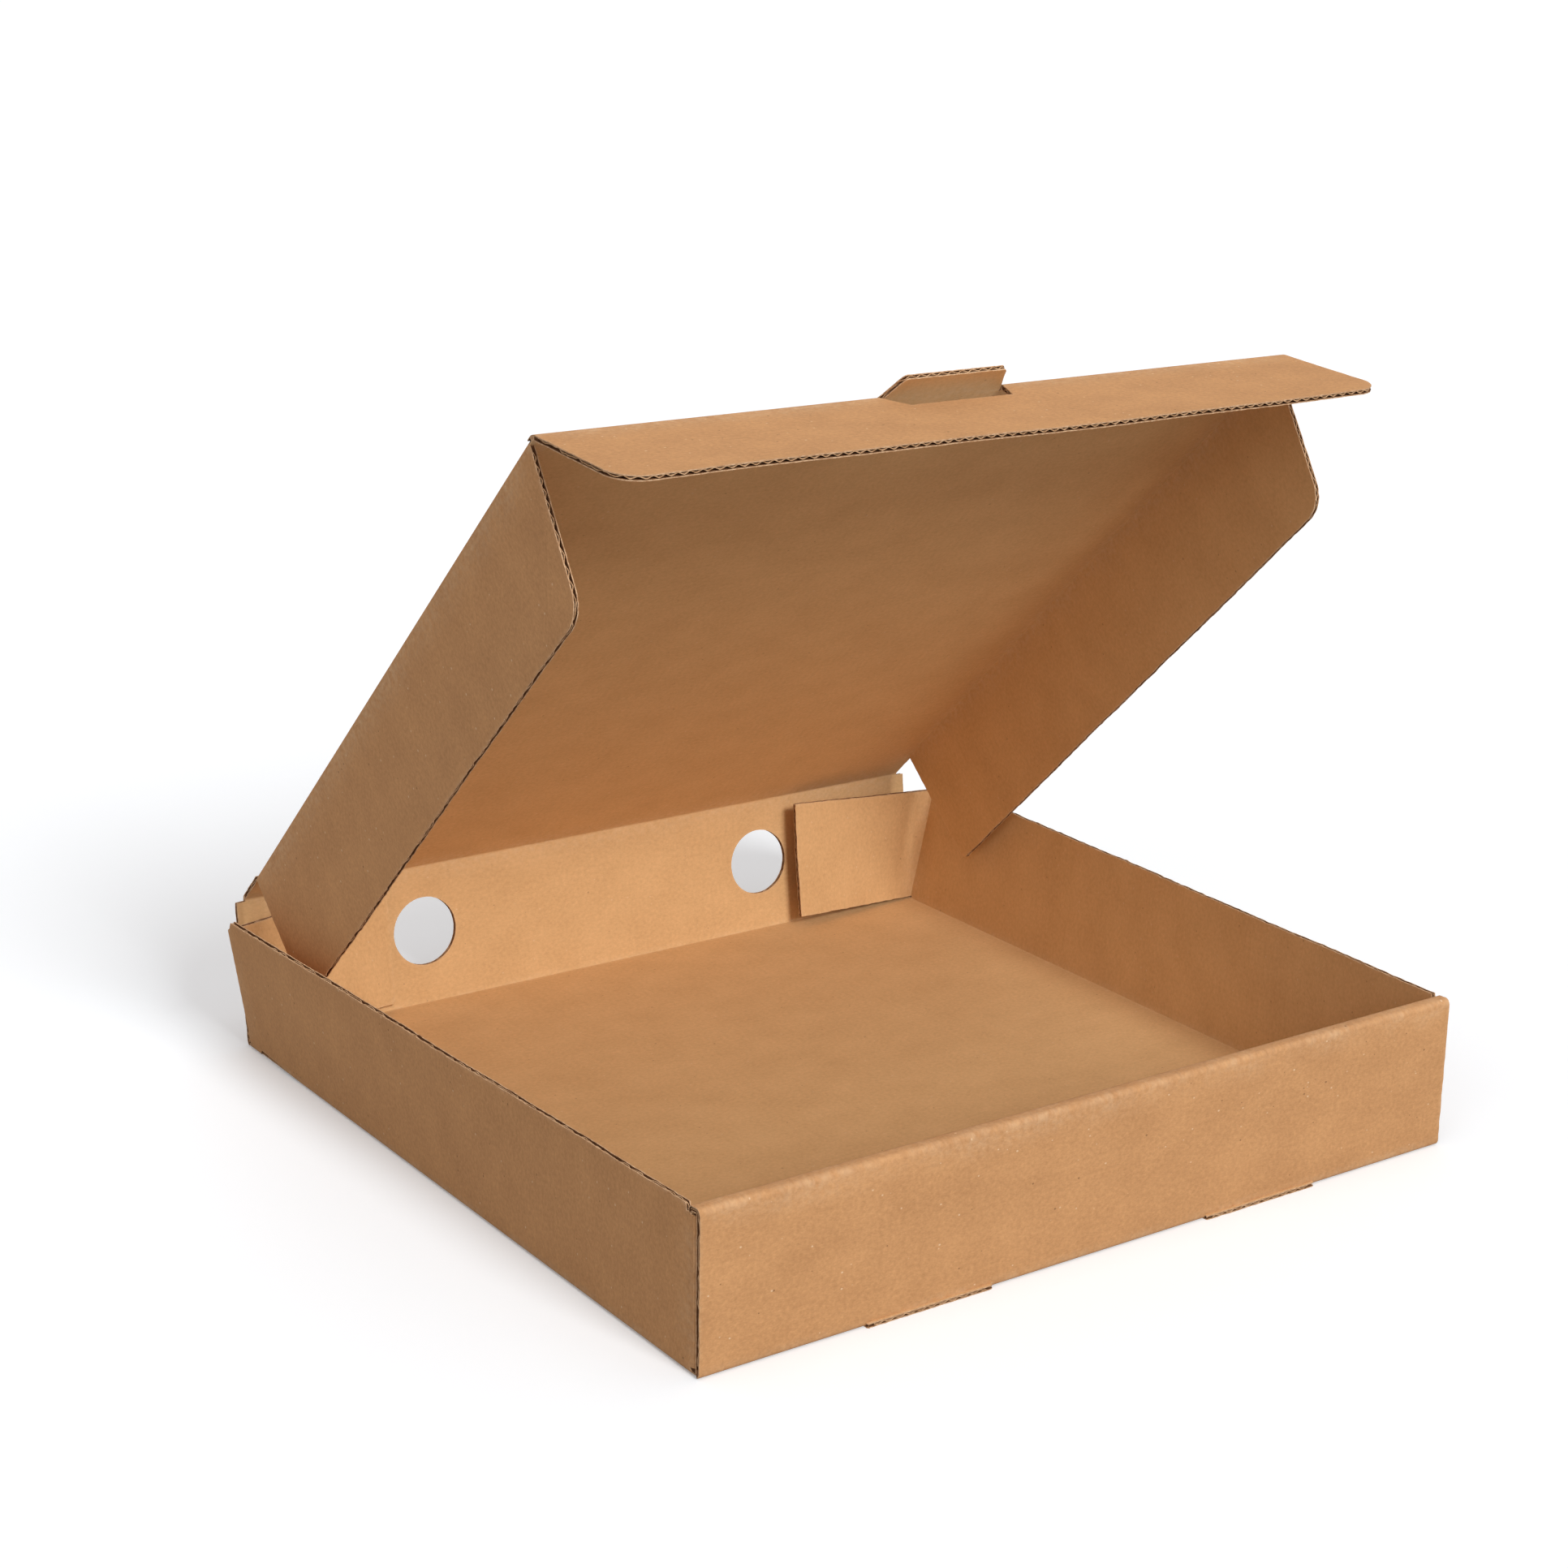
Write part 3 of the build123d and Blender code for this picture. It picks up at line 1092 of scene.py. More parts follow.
@dataclass(frozen=True)
class KraftFinish:
    """A matt kraft paper surface."""

    name: str
    dark: Colour
    light: Colour
    pale_speck: Colour = (0.78, 0.6, 0.4)
    dark_speck: Colour = (0.13, 0.06, 0.025)
    specks: float = 0.6
    # How far the flute valleys are painted darker and the crests lighter, as shade.
    lines: float = 0.012
    rub: float = 0.35
    fray_share: float = 0.8
    roughness: float = 0.82
    tone_roughness: float = 0.1
    specular: float = 0.25
    grain_depth: float = 0.05 * MM
    grain_strength: float = 0.55
    line_depth: float = 0.002 * MM
    line_strength: float = 0.8
    shift: Point = (0.0, 0.0)

    def _colour(
        self, sheet: NodeSheet, fibre: NodeOutputs, flutes: NodeOutputs, wear: NodeOutputs
    ) -> Socket:
        """Mix the paper's tones, painted shade along the flutes' lines, the wear and the specks.

        Args:
            sheet: The material's nodes.
            fibre: What the fibre group gives.
            flutes: What the flute group gives.
            wear: What the wear group gives.

        Returns:
            The colour.
        """
        colour = sheet.mix(fibre["Tone"], (*self.dark, 1), (*self.light, 1))
        # Painted shade: darker in the flute valleys, lighter on the crests.
        valley, crest = (1 - self.lines,) * 3, (1 + self.lines,) * 3
        shade = sheet.mix(flutes["Lines"], (*valley, 1), (*crest, 1))
        colour = sheet.mix(1.0, colour, shade, "MULTIPLY")
        layers = (
            (wear["Rubbed"], self.rub, self.pale_speck),
            (wear["Frayed"], self.fray_share * self.rub, self.pale_speck),
            (fibre["Pale"], self.specks, self.pale_speck),
            (fibre["Dark"], self.specks, self.dark_speck),
        )
        for amount, share, tone in layers:
            colour = sheet.mix(sheet.math("MULTIPLY", amount, share), colour, (*tone, 1))
        return colour

    def material(self, effects: EffectGroups) -> Material:
        """Make the material.

        Args:
            effects: The shared node groups.

        Returns:
            The material.
        """
        made, sheet = new_material(self.name)
        blank = sheet.node("ShaderNodeUVMap", uv_map=UV_NAME).outputs[0]
        place = sheet.node("ShaderNodeMapping", {"Vector": blank, "Location": (*self.shift, 0.0)})
        vector = {"Vector": place.outputs[0]}
        pitch = {"Pitch": effects.board.pitch}
        worn = {
            "Fold": sheet.node("ShaderNodeAttribute", attribute_name="fold").outputs["Fac"],
            "Edge": sheet.node("ShaderNodeAttribute", attribute_name="edge").outputs["Fac"],
        }
        fibre = sheet.node("ShaderNodeGroup", node_tree=effects.fibre, inputs=vector).outputs
        flutes = sheet.node("ShaderNodeGroup", node_tree=effects.flutes, inputs=vector | pitch).outputs
        wear = sheet.node("ShaderNodeGroup", node_tree=effects.wear, inputs=vector | worn).outputs
        height = sheet.math("ADD", fibre["Height"], wear["Height"])
        grain = sheet.bump(height, self.grain_depth, self.grain_strength)
        least_rough = self.roughness - self.tone_roughness / 2
        look = {
            "Base Color": self._colour(sheet, fibre, flutes, wear),
            "Roughness": sheet.math("MULTIPLY_ADD", fibre["Tone"], self.tone_roughness, least_rough),
            "Normal": sheet.bump(flutes["Height"], self.line_depth, self.line_strength, Normal=grain),
            "Specular IOR Level": self.specular,
        }
        sheet.surface(look)
        return made


@dataclass(frozen=True)
class CutFinish:
    """Bare cut paper: a liner's rim or the wavy medium, or the hollow between the liners painted dark as
    shade.
    """

    name: str
    dark: Colour
    light: Colour
    roughness: float = 0.9
    specular: float = 0.2
    grain_scale: float = 900.0
    grain_detail: float = 3.0
    grain_depth: float = 0.1 * MM
    grain_strength: float = 0.6
    tone_limits: Point = (0.3, 0.7)

    def material(self) -> Material:
        """Make the material, whose grain follows the piece's own coordinates.

        Returns:
            The material.
        """
        made, sheet = new_material(self.name)
        place = sheet.node("ShaderNodeTexCoord").outputs["Object"]
        inputs = {"Vector": place, "Scale": self.grain_scale, "Detail": self.grain_detail}
        noise = sheet.node("ShaderNodeTexNoise", inputs).outputs[0]
        tone = sheet.span(noise, self.tone_limits)
        look = {
            "Base Color": sheet.mix(tone, (*self.dark, 1), (*self.light, 1)),
            "Roughness": self.roughness,
            "Normal": sheet.bump(noise, self.grain_depth, self.grain_strength),
            "Specular IOR Level": self.specular,
        }
        sheet.surface(look)
        return made


class Finishes:
    """The box's finishes, made once."""

    OUTER = KraftFinish("kraft_outer_liner", dark=(0.45, 0.229, 0.096), light=(0.61, 0.327, 0.144))
    INNER = KraftFinish(
        "kraft_inner_liner",
        dark=(0.58, 0.345, 0.155),
        light=(0.71, 0.44, 0.21),
        specks=0.35,
        shift=(0.61, 1.037),
    )
    RIM = CutFinish("kraft_cut_rim", dark=(0.44, 0.25, 0.13), light=(0.68, 0.46, 0.28))
    # Painted shade: the hollow between the liners gets a near-black brown for the shade inside the groove,
    # though its paper is kraft like the medium.
    CORE = CutFinish("flute_hollow_painted_shade", dark=(0.15, 0.066, 0.028), light=(0.24, 0.115, 0.05))
    MEDIUM = CutFinish("flute_medium", dark=(0.42, 0.23, 0.11), light=(0.66, 0.42, 0.24))

    def __init__(self, board: Board) -> None:
        """Make the materials.

        Args:
            board: Sizes of the board.
        """
        effects = EffectGroups(board)
        liners = [self.OUTER.material(effects), self.INNER.material(effects)]
        self.liners = liners + [self.RIM.material(), self.CORE.material()]
        self.medium = self.MEDIUM.material()


@dataclass
class FoldStrip:
    """A crease that joins two panels, built at its rest angle."""

    board: Board
    corner: Array
    before: Array
    after: Array
    axis: Array
    reach: float
    spans: list[Point]
    flat_start: Array
    flat_across: Point = (0.0, 1.0)
    flat_axis: Point = (1.0, 0.0)
    hold: float = 0.0
    steps: int = 8
    section_step: float = 8.0 * MM

    @property
    def angle(self) -> float:
        """How far the crease turns at rest."""
        return math.acos(np.clip(self.before @ self.after, -1, 1))

    @property
    def radius(self) -> float:
        """Radius of the crease at the middle of the board."""
        return self.reach / math.tan(self.angle / 2)

    def ends(self) -> tuple[Vector, Vector]:
        """Find where the bending starts and ends.

        Returns:
            The first and the last point of the bend.
        """
        start = self.corner - self.before * self.reach
        end = self.corner + self.after * self.reach
        chord = unit(end - start)
        return Vector(start + chord * self.hold), Vector(end - chord * self.hold)

    def build(self, name: str, materials: list[Material]) -> Object:
        """Make the crease as closed strips.

        Args:
            name: Name of the piece.
            materials: Outer liner, inner liner, rim and core, the core painted near-black as shade.

        Returns:
            The piece.
        """
        turn = unit(self.after - self.before * (self.before @ self.after))
        start = self.corner - self.before * self.reach
        flat_across, flat_axis = np.array(self.flat_across), np.array(self.flat_axis)
        points, flats, faces, skins = [], [], [], []
        for low, high in self.spans:
            places = np.linspace(low, high, max(2, round((high - low) / self.section_step)))
            first = len(points)
            for place in places:
                for step in range(self.steps + 1):
                    swung = self.angle * step / self.steps
                    inward = math.cos(swung) * turn - math.sin(swung) * self.before
                    bent = math.sin(swung) * self.before + (1 - math.cos(swung)) * turn
                    middle = start + self.radius * bent
                    run = flat_across * (self.radius * swung)
                    for sign in (1, -1):
                        points.append(middle + self.axis * place + sign * self.board.half * inward)
                        flats.append(self.flat_start + flat_axis * place + run)
            self._cover(first, len(places), faces, skins)
        size = len(points)
        wear = np.tile(np.repeat(self._wear(), 2), size // (2 * (self.steps + 1)))
        edge = np.zeros(size)
        mesh = make_mesh(name, np.array(points), faces, skins, np.array(flats), wear, edge, materials)
        return make_object(name, mesh)

    def _wear(self) -> Array:
        """Return the fold wear across the crease."""
        share = np.linspace(-1, 1, self.steps + 1)
        return np.exp(-((share * self.radius * self.angle / 2 / self.board.wear_width) ** 2))

    def _cover(self, first: int, count: int, faces: list[list[int]], skins: list[int]) -> None:
        """Add the faces of one closed strip.

        Args:
            first: Number of the strip's first vertex.
            count: How many sections the strip has.
            faces: The faces so far, added to.
            skins: Their material slots, added to.
        """
        row = 2 * (self.steps + 1)
        flip = np.cross(self.before, self.after) @ self.axis < 0
        made = []
        for place in range(count - 1):
            here, there = first + place * row, first + (place + 1) * row
            for step in range(self.steps):
                a, b = 2 * step, 2 * step + 2
                made.append(([here + a, here + b, there + b, there + a], Skin.INNER))
                made.append(([here + a + 1, there + a + 1, there + b + 1, here + b + 1], Skin.OUTER))
            last = row - 2
            made.append(([here, there, there + 1, here + 1], Skin.RIM))
            made.append(([here + last, here + last + 1, there + last + 1, there + last], Skin.RIM))
        for section, turned in ((first, False), (first + (count - 1) * row, True)):
            for step in range(self.steps):
                a = section + 2 * step
                face = [a, a + 1, a + 3, a + 2]
                made.append((face[::-1] if turned else face, Skin.RIM))
        for face, skin in made:
            faces.append(face[::-1] if flip else face)
            skins.append(skin.value)


class Workshop:
    """Makes dressed panels and creases, and sets the panels on the frame's bodies."""

    def __init__(self, board: Board) -> None:
        """Make the finishes and the flute tree for a board."""
        self.finishes = Finishes(board)
        self.flutes = FluteTree(board)

    def panel(self, name: str, blank: Blank, body: str, node: Optional[str] = None) -> None:
        """Build a panel and its flutes, and set them on a body.

        Args:
            name: Name of the panel.
            blank: Its blank.
            body: The body that it moves with.
            node: The solid that it stands for, if any.
        """
        maker = BoardPiece(blank)
        piece = maker.build(name, self.finishes.liners)
        path = maker.flute_path(name + "_flutes")
        made = [piece] if path is None else [piece, self.flutes.fill(path, self.finishes.medium)]
        for part in made:
            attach(part, body)
            LOG.info("%s rides on %s with %d faces", part.name, body, len(part.data.polygons))
        if node is not None:
            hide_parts(node)

    def crease(self, name: str, strip: FoldStrip, first: str, second: str) -> None:
        """Build a crease, bent to its rest angle, between two bodies.

        Args:
            name: Name of the crease.
            strip: Its sizes.
            first: The body before it.
            second: The body after it.
        """
        piece = strip.build(name, self.finishes.liners)
        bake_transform(piece)
        LOG.info("%s bends between %s and %s with %d faces", name, first, second, len(piece.data.polygons))


@dataclass
class BoxPlan:
    """Sizes that the box's panels share."""

    board: Board = field(default_factory=Board)
    half_width: float = 127.0 * MM
    half_depth: float = 127.0 * MM
    wall_height: float = 45.0 * MM
    rear_lean: float = 5.5 * MM
    front_inner_y: float = -122.0 * MM
    hinge_y: float = 131.75 * MM
    hinge_z: float = 46.05 * MM
    lid_angle: float = math.radians(43.7)
    lid_half_width: float = 123.9 * MM
    lid_depth: float = 247.0 * MM
    hinge_reach: float = 0.947 * MM
    fold_reach: float = 1.05 * MM
    side_fold_reach: float = 0.9 * MM
    front_flap_angle: float = math.radians(49.0)
    thumb_half_width: float = 20.0 * MM
    thumb_length: float = 9.5 * MM
    thumb_taper: float = 3.5 * MM
    thumb_radius: float = 1.2 * MM
    thumb_play: float = 0.3 * MM
    side_flap_rear: float = 13.0 * MM
    side_flap_front_gap: float = 2.5 * MM

    @property
    def lid_along(self) -> Array:
        """Direction from the hinge to the lid's front fold."""
        return np.array([0.0, -math.cos(self.lid_angle), math.sin(self.lid_angle)])

    @property
    def lid_inward(self) -> Array:
        """Direction from the lid into the box."""
        return np.array([0.0, -math.sin(self.lid_angle), -math.cos(self.lid_angle)])

    @property
    def hinge(self) -> Array:
        """Middle of the hinge fold."""
        return np.array([0.0, self.hinge_y, self.hinge_z])

    @property
    def wall_along(self) -> Array:
        """Direction up the rear wall."""
        return unit(np.array([0.0, self.rear_lean, self.wall_height]))

    @property
    def hinge_corner(self) -> Array:
        """Where the middles of the rear wall and the lid would meet."""
        top = np.array([0.0, self.hinge_y, self.wall_height])
        return top + self.wall_along * self.hinge_reach

    @property
    def lid_start(self) -> float:
        """Where the lid's flat panel starts, from the hinge."""
        return float((self.hinge_corner - self.hinge) @ self.lid_along) + self.hinge_reach

    @property
    def front_fold(self) -> Array:
        """Middle of the lid's front fold."""
        return self.hinge + self.lid_along * self.lid_depth

    @property
    def flap_along(self) -> Array:
        """Direction from the front fold to the front flap's free edge."""
        turn = self.front_flap_angle
        return self.lid_along * math.cos(turn) + self.lid_inward * math.sin(turn)

    @property
    def side_corner(self) -> float:
        """Distance from the middle to the middle of a side flap's board."""
        return self.lid_half_width - self.board.half

    @property
    def side_flap_front(self) -> float:
        """Where the side flaps' folds end, from the hinge."""
        return self.lid_depth - self.side_flap_front_gap


def both_sides(left: float, right: float) -> dict[Side, float]:
    """Return a size that differs between the two sides."""
    return {Side.LEFT: left, Side.RIGHT: right}


@dataclass
class Tray:
    """The folded tray: base, walls, rolled front and corner tabs.

    Each slit corner says how far it is up from the side fold's start and forward of the slit's rear end.
    """

    LEAD = 10.0 * MM
    BEND_SHARES = (0.0, 0.25, 0.5, 0.75, 1.0)
    FOLD_SHARES = (-1.5, *BEND_SHARES, 2.5)
    LEAN_SHARE = 0.99

    plan: BoxPlan
    leans: dict[Side, float] = field(default_factory=lambda: both_sides(9.0 * MM, 6.5 * MM))
    rises: dict[Side, float] = field(default_factory=lambda: both_sides(2.0 * MM, 3.0 * MM))
    standoffs: dict[Side, float] = field(default_factory=lambda: both_sides(0.7 * MM, 6.0 * MM))
    rear_tabs: dict[Side, float] = field(default_factory=lambda: both_sides(48.0 * MM, 50.0 * MM))
    rear_tab_low: float = 2.3 * MM
    rear_tab_high: float = 41.5 * MM
    tab_inset: float = 0.2 * MM
    front_tab_low: float = 2.2 * MM
    front_tab_high: float = 42.6 * MM
    front_tab_length: float = 60.0 * MM
    front_tab_taper: float = 4.0 * MM
    corner_y: float = -125.25 * MM
    side_rear_y: float = 125.2 * MM
    rake: float = 5.0 * MM
    top_cut: float = 4.0 * MM
    front_cut: float = 0.25 * MM
    foot_lap: float = 0.12 * MM
    roll_room: float = 0.5 * MM
    roll_drop: float = 1.9 * MM
    roll_slant: float = 0.4 * MM
    notch: float = 0.5 * MM
    press: float = 3.0 * MM
    parting: float = 127.07 * MM
    front_half: float = 126.9 * MM
    rear_half: float = 126.8 * MM
    inner_half: float = 125.1 * MM
    inner_height: float = 42.3 * MM
    corner_room: float = 0.3 * MM
    corner_slant: float = 0.4 * MM
    tuck_gap: float = 2.0 * MM
    lock_gap: float = 0.1 * MM
    lock_spacing: float = 57.0 * MM
    lock_half_width: float = 20.0 * MM
    lock_play: float = 0.3 * MM
    ledge_reach: float = 0.7 * MM
    ledge_height: float = 1.3 * MM
    ledge_depth: float = 3.2 * MM
    ledge_radius: float = 0.5 * MM
    ledge_groove: float = 1.4 * MM
    ledge_ragged: float = 0.05 * MM
    hinge_room: float = 0.3 * MM
    vent_spacing: float = 64.0 * MM
    vent_height: float = 24.5 * MM
    vent_radius: float = 11.0 * MM
    slit_rear: float = 117.5 * MM
    slit: tuple[Point, ...] = (
        (0.35 * MM, 0.0),
        (0.5 * MM, 26.0 * MM),
        (0.8 * MM, 26.0 * MM),
        (1.6 * MM, 13.0 * MM),
        (2.2 * MM, 2.0 * MM),
    )
    sway_swing: float = 0.22 * MM
    sway_long: float = 17.0 * MM
    sway_short: float = 7.3 * MM
    sway_phase: float = 0.8
    sway_rear: float = 110.0 * MM
    sway_ease: float = 60.0 * MM
    sway_margin: float = 5.0 * MM
    seed: int = 11
    ledge_seed: int = 31

    def __post_init__(self) -> None:
        """Work out where the folds start on the blank."""
        board = self.plan.board
        self.middle = self.plan.half_width - board.half
        self.side_start = self.middle - board.bend
        self.front_start = -self.side_start
        self.arc_height = board.half + board.bend
        self.wall_run = board.quarter_turn + self.plan.wall_height - self.arc_height
        self.rear_angle = math.pi / 2 - math.atan(self.plan.rear_lean / self.plan.wall_height)
        self.rear_foot = self.middle + self.plan.rear_lean * board.half / self.plan.wall_height
        self.rear_start = self.rear_foot - board.bend * math.tan(self.rear_angle / 2)

    @property
    def front_fold_y(self) -> float:
        """Where the side walls' front corner folds start."""
        return self.corner_y + self.plan.board.half + self.plan.board.bend

    def run_at(self, height: float) -> float:
        """Return how far out on the blank a side wall's point of some height is."""
        return self.side_start + self.plan.board.quarter_turn + height - self.arc_height

    def rear_run_at(self, height: float) -> float:
        """Find how far back on the blank a rear wall's point of some height is.

        Args:
            height: The height over the table.

        Returns:
            The distance from the blank's middle.
        """
        path = self._rear_path()
        reach = math.dist(path[1], path[2])
        bend = self.plan.board.bend
        tangent = bend * math.tan(self.rear_angle / 2)
        share = (height - self.plan.board.half) / (self.plan.wall_height - self.plan.board.half)
        return self.rear_start + bend * self.rear_angle + share * reach - tangent

    def _rear_path(self) -> list[Point]:
        """Return the rear wall's section, back and up from a lead before its fold to its top."""
        half, top = self.plan.board.half, (self.middle + self.plan.rear_lean, self.plan.wall_height)
        return [(self.rear_start - self.LEAD, half), (self.rear_foot, half), top]

    def _front_path(self) -> list[Point]:
        """Work out the rolled front wall's section.

        Returns:
            Points forward and up, from a lead before its fold to the roll's end on the table.
        """
        half = self.plan.board.half
        top = self.plan.wall_height - half
        inner = -self.plan.front_inner_y + half
        start = (-self.front_start - self.LEAD, half)
        return [start, (self.middle, half), (self.middle, top), (inner, top), (inner, 0.0)]

    def _front_length(self) -> float:
        """Work out the rolled front wall's length along its middle.

        Returns:
            The length from its fold down to the table.
        """
        path, board = self._front_path(), self.plan.board
        runs = [math.dist(a, b) for a, b in zip(path, path[1:])]
        folds = len(path) - 2
        return sum(runs) - self.LEAD - folds * (2 * board.bend - board.quarter_turn)

    def _lean(self, side: Array, along: Array) -> Array:
        """Return how far the side walls lean out at their top, along the box."""
        most = np.where(side < 0, self.leans[Side.LEFT], self.leans[Side.RIGHT])
        return most * np.clip((along - self.corner_y) / (self.side_rear_y - self.corner_y), 0, 1)

    def _side_start(self, lean: Array) -> tuple[Array, Array]:
        """Find where a leaning wall's fold starts and how far it turns.

        Args:
            lean: How far the wall leans out at its top.

        Returns:
            The distance from the middle, and the angle.
        """
        board = self.plan.board
        angle = math.pi / 2 - np.arctan(lean / self.plan.wall_height)
        foot = self.middle + lean * board.half / self.plan.wall_height
        return foot - board.bend * np.tan(angle / 2), angle

    def place(self, flat: Array) -> Array:
        """Fold points of the blank into the tray.

        Args:
            flat: Points on the blank.

        Returns:
            Points in the middle of the folded board.
        """
        board = self.plan.board
        across, along = flat[:, 0], flat[:, 1]
        central = np.abs(across) < self.parting
        rear = central & (along > self.rear_start)
        front = central & (along < self.front_start)
        wall = ~rear & ~front & (np.abs(across) > self.side_start)
        start, _ = self._side_start(self._lean(np.sign(across), along))
        found = np.empty((len(flat), 3))
        found[:, 0] = across * np.where(rear | front, 1.0, start / self.side_start)
        found[:, 1] = along
        found[:, 2] = board.half
        back_run = along[rear] - self.rear_start + self.LEAD
        found[rear, 1:] = follow(back_run, self._rear_path(), board.bend)
        front_run = self.front_start - along[front] + self.LEAD
        rolled = follow(front_run, self._front_path(), board.bend)
        found[front, 1] = -rolled[:, 0]
        found[front, 2] = rolled[:, 1]
        found[wall] = self._place_wall(across[wall], along[wall])
        return found

    def _place_wall(self, across: Array, along: Array) -> Array:
        """Fold points of a side wall and its corner tabs.

        Args:
            across: Where they are across the blank.
            along: Where they are along it.

        Returns:
            Points in the middle of the folded board.
        """
        board, height = self.plan.board, self.plan.wall_height
        side = np.sign(across)
        run = np.abs(across) - self.side_start
        lean = self._lean(side, along)
        start, angle = self._side_start(lean)
        turned = np.clip(run / board.quarter_turn, 0, 1) * angle
        arc_top = board.half + board.bend * (1 - np.cos(angle))
        arc = board.half + board.bend * (1 - np.cos(turned))
        share = np.maximum(run - board.quarter_turn, 0) / (self.wall_run - board.quarter_turn)
        up = np.where(share > 0, arc_top + share * (height - arc_top), arc)
        out = np.where(share > 0, self.middle + lean * up / height, start + board.bend * np.sin(turned))
        found = np.column_stack((side * out, along, up))
        found = self._place_front_tab(found, side, along)
        for which in Side:
            mine = side == which.value
            found[mine] = self._place_rear_tab(found[mine], which, along[mine])
        return found

    def _place_front_tab(self, found: Array, side: Array, along: Array) -> Array:
        """Turn the front corner tabs in behind the front wall.

        Args:
            found: Points of the side walls, before this fold.
            side: Which side each is on.
            along: Where each is along the blank.

        Returns:
            The points after this fold.
        """
        board = self.plan.board
        past = self.front_fold_y - along
        slack = self.notch / 2
        level = found[:, 2] > self.front_tab_low - slack
        level &= found[:, 2] < self.front_tab_high + slack
        tab = ((past > 0) & level) | (along < self.corner_y - slack)
        turned = np.clip(past / board.bend, 0, math.pi / 2)
        rest = np.maximum(past - board.quarter_turn, 0)
        out = self.middle - board.bend * (1 - np.cos(turned)) - rest
        found[tab, 0] = (side * out)[tab]
        found[tab, 1] = (self.front_fold_y - board.bend * np.sin(turned))[tab]
        return found

    def _rear_tab(self, side: Side, height: Array) -> dict[str, Array]:
        """Work out a rear corner tab's fold and free end at some heights.

        Args:
            side: The tab's side.
            height: Heights on the wall.

        Returns:
            Where its fold starts, its directions, its turn and its length.
        """
        plan, board = self.plan, self.plan.board
        share = height / plan.wall_height
        lean = self.leans[side] * self.LEAN_SHARE
        fold_y = self.side_rear_y - self.tab_inset - self.rake * share - board.half
        corner = np.column_stack((self.middle + lean * share, fold_y))
        top = height + self.rises[side]
        rear_face = plan.half_depth - board.thickness + plan.rear_lean * top / plan.wall_height
        end_x = np.full(len(height), plan.half_width - board.thickness - self.rear_tabs[side])
        end = np.column_stack((end_x, rear_face - self.standoffs[side] - board.half))
        slope = lean * share / (self.side_rear_y - self.corner_y)
        wall = unit(np.column_stack((slope, np.ones(len(height)))))
        tab = unit(end - corner)
        turn = np.arccos(np.clip((wall * tab).sum(1), -1, 1))
        reach = board.bend * np.tan(turn / 2)
        return {
            "start": corner - wall * reach[:, None],
            "wall": wall,
            "tab": tab,
            "inward": unit(tab - wall * (wall * tab).sum(1)[:, None]),
            "turn": turn,
            "length": np.linalg.norm(end - corner, axis=1) - reach,
        }

    def _place_rear_tab(self, found: Array, side: Side, along: Array) -> Array:
        """Turn a rear corner tab in along the rear wall.

        Args:
            found: Points of one side wall, before this fold.
            side: The wall's side.
            along: Where each point is along the blank.

        Returns:
            The points after this fold.
        """
        bend = self.plan.board.bend
        height = found[:, 2].copy()
        tab = self._rear_tab(side, height)
        past = along - tab["start"][:, 1]
        slack = self.notch / 2
        level = (height > self.rear_tab_low - slack) & (height < self.rear_tab_high + slack)
        beyond = along > self.side_rear_y - self.rake * height / self.plan.wall_height + slack
        on_tab = ((past > 0) & level) | beyond
        turned = np.clip(past / bend, 0, tab["turn"])[:, None]
        rest = np.maximum(past - bend * tab["turn"], 0)
        bent = np.sin(turned) * tab["wall"] + (1 - np.cos(turned)) * tab["inward"]
        spot = tab["start"] + bend * bent + rest[:, None] * tab["tab"]
        found[on_tab, 0] = side.value * spot[on_tab, 0]
        found[on_tab, 1] = spot[on_tab, 1]
        lift = self.rises[side] * np.clip(rest / tab["length"], 0, 1)
        found[on_tab, 2] = (height + lift)[on_tab]
        return found

    def _tab_point(self, side: Side, height: float, share: float) -> Point:
        """Find a point of a rear tab on the blank.

        Args:
            side: The tab's side.
            height: The point's height on the wall.
            share: 0 for its fold and 1 for its free end.

        Returns:
            The point, as if on the right.
        """
        tab = self._rear_tab(side, np.array([height]))
        bend = self.plan.board.bend * tab["turn"][0]
        return self.run_at(height), tab["start"][0, 1] + share * (bend + tab["length"][0])

    def _wall_outline(self, side: Side) -> list[Point]:
        """Trace a side wall's cut edge on the blank.

        Args:
            side: The wall's side.

        Returns:
            Its points from front to rear, as if on the right.
        """
        high, out, small = self.plan.wall_height, self.run_at, self.notch
        foot = self.side_start - self.foot_lap
        fold = self.front_fold_y + small
        tab_end = self.corner_y - self.front_tab_length
        low, top = self.front_tab_low, self.front_tab_high
        roll = self.plan.front_inner_y + self.roll_room
        points = [
            (foot, self.corner_y + self.front_cut),
            (out(low - small), fold),
            (out(low), fold),
            (out(low + self.front_tab_taper), tab_end),
            (out(top - self.front_tab_taper), tab_end),
            (out(top), fold),
            (out(top + small), fold),
            (out(high - self.roll_drop), roll),
            (out(high), roll + self.roll_slant),
            (out(high), self.side_rear_y - self.rake - self.top_cut),
        ]
        low, top = self.rear_tab_low, self.rear_tab_high
        low_fold = self._tab_point(side, low, 0)[1] - small
        top_fold = self._tab_point(side, top, 0)[1] - small
        rear = self.side_rear_y - small
        points += [
            (out(top + small), top_fold),
            (out(top), top_fold),
            self._tab_point(side, top, 1),
            self._tab_point(side, low, 1),
            (out(low), low_fold),
            (out(low - small), low_fold),
            (out(low - small), rear),
            (foot, rear),
        ]
        return points

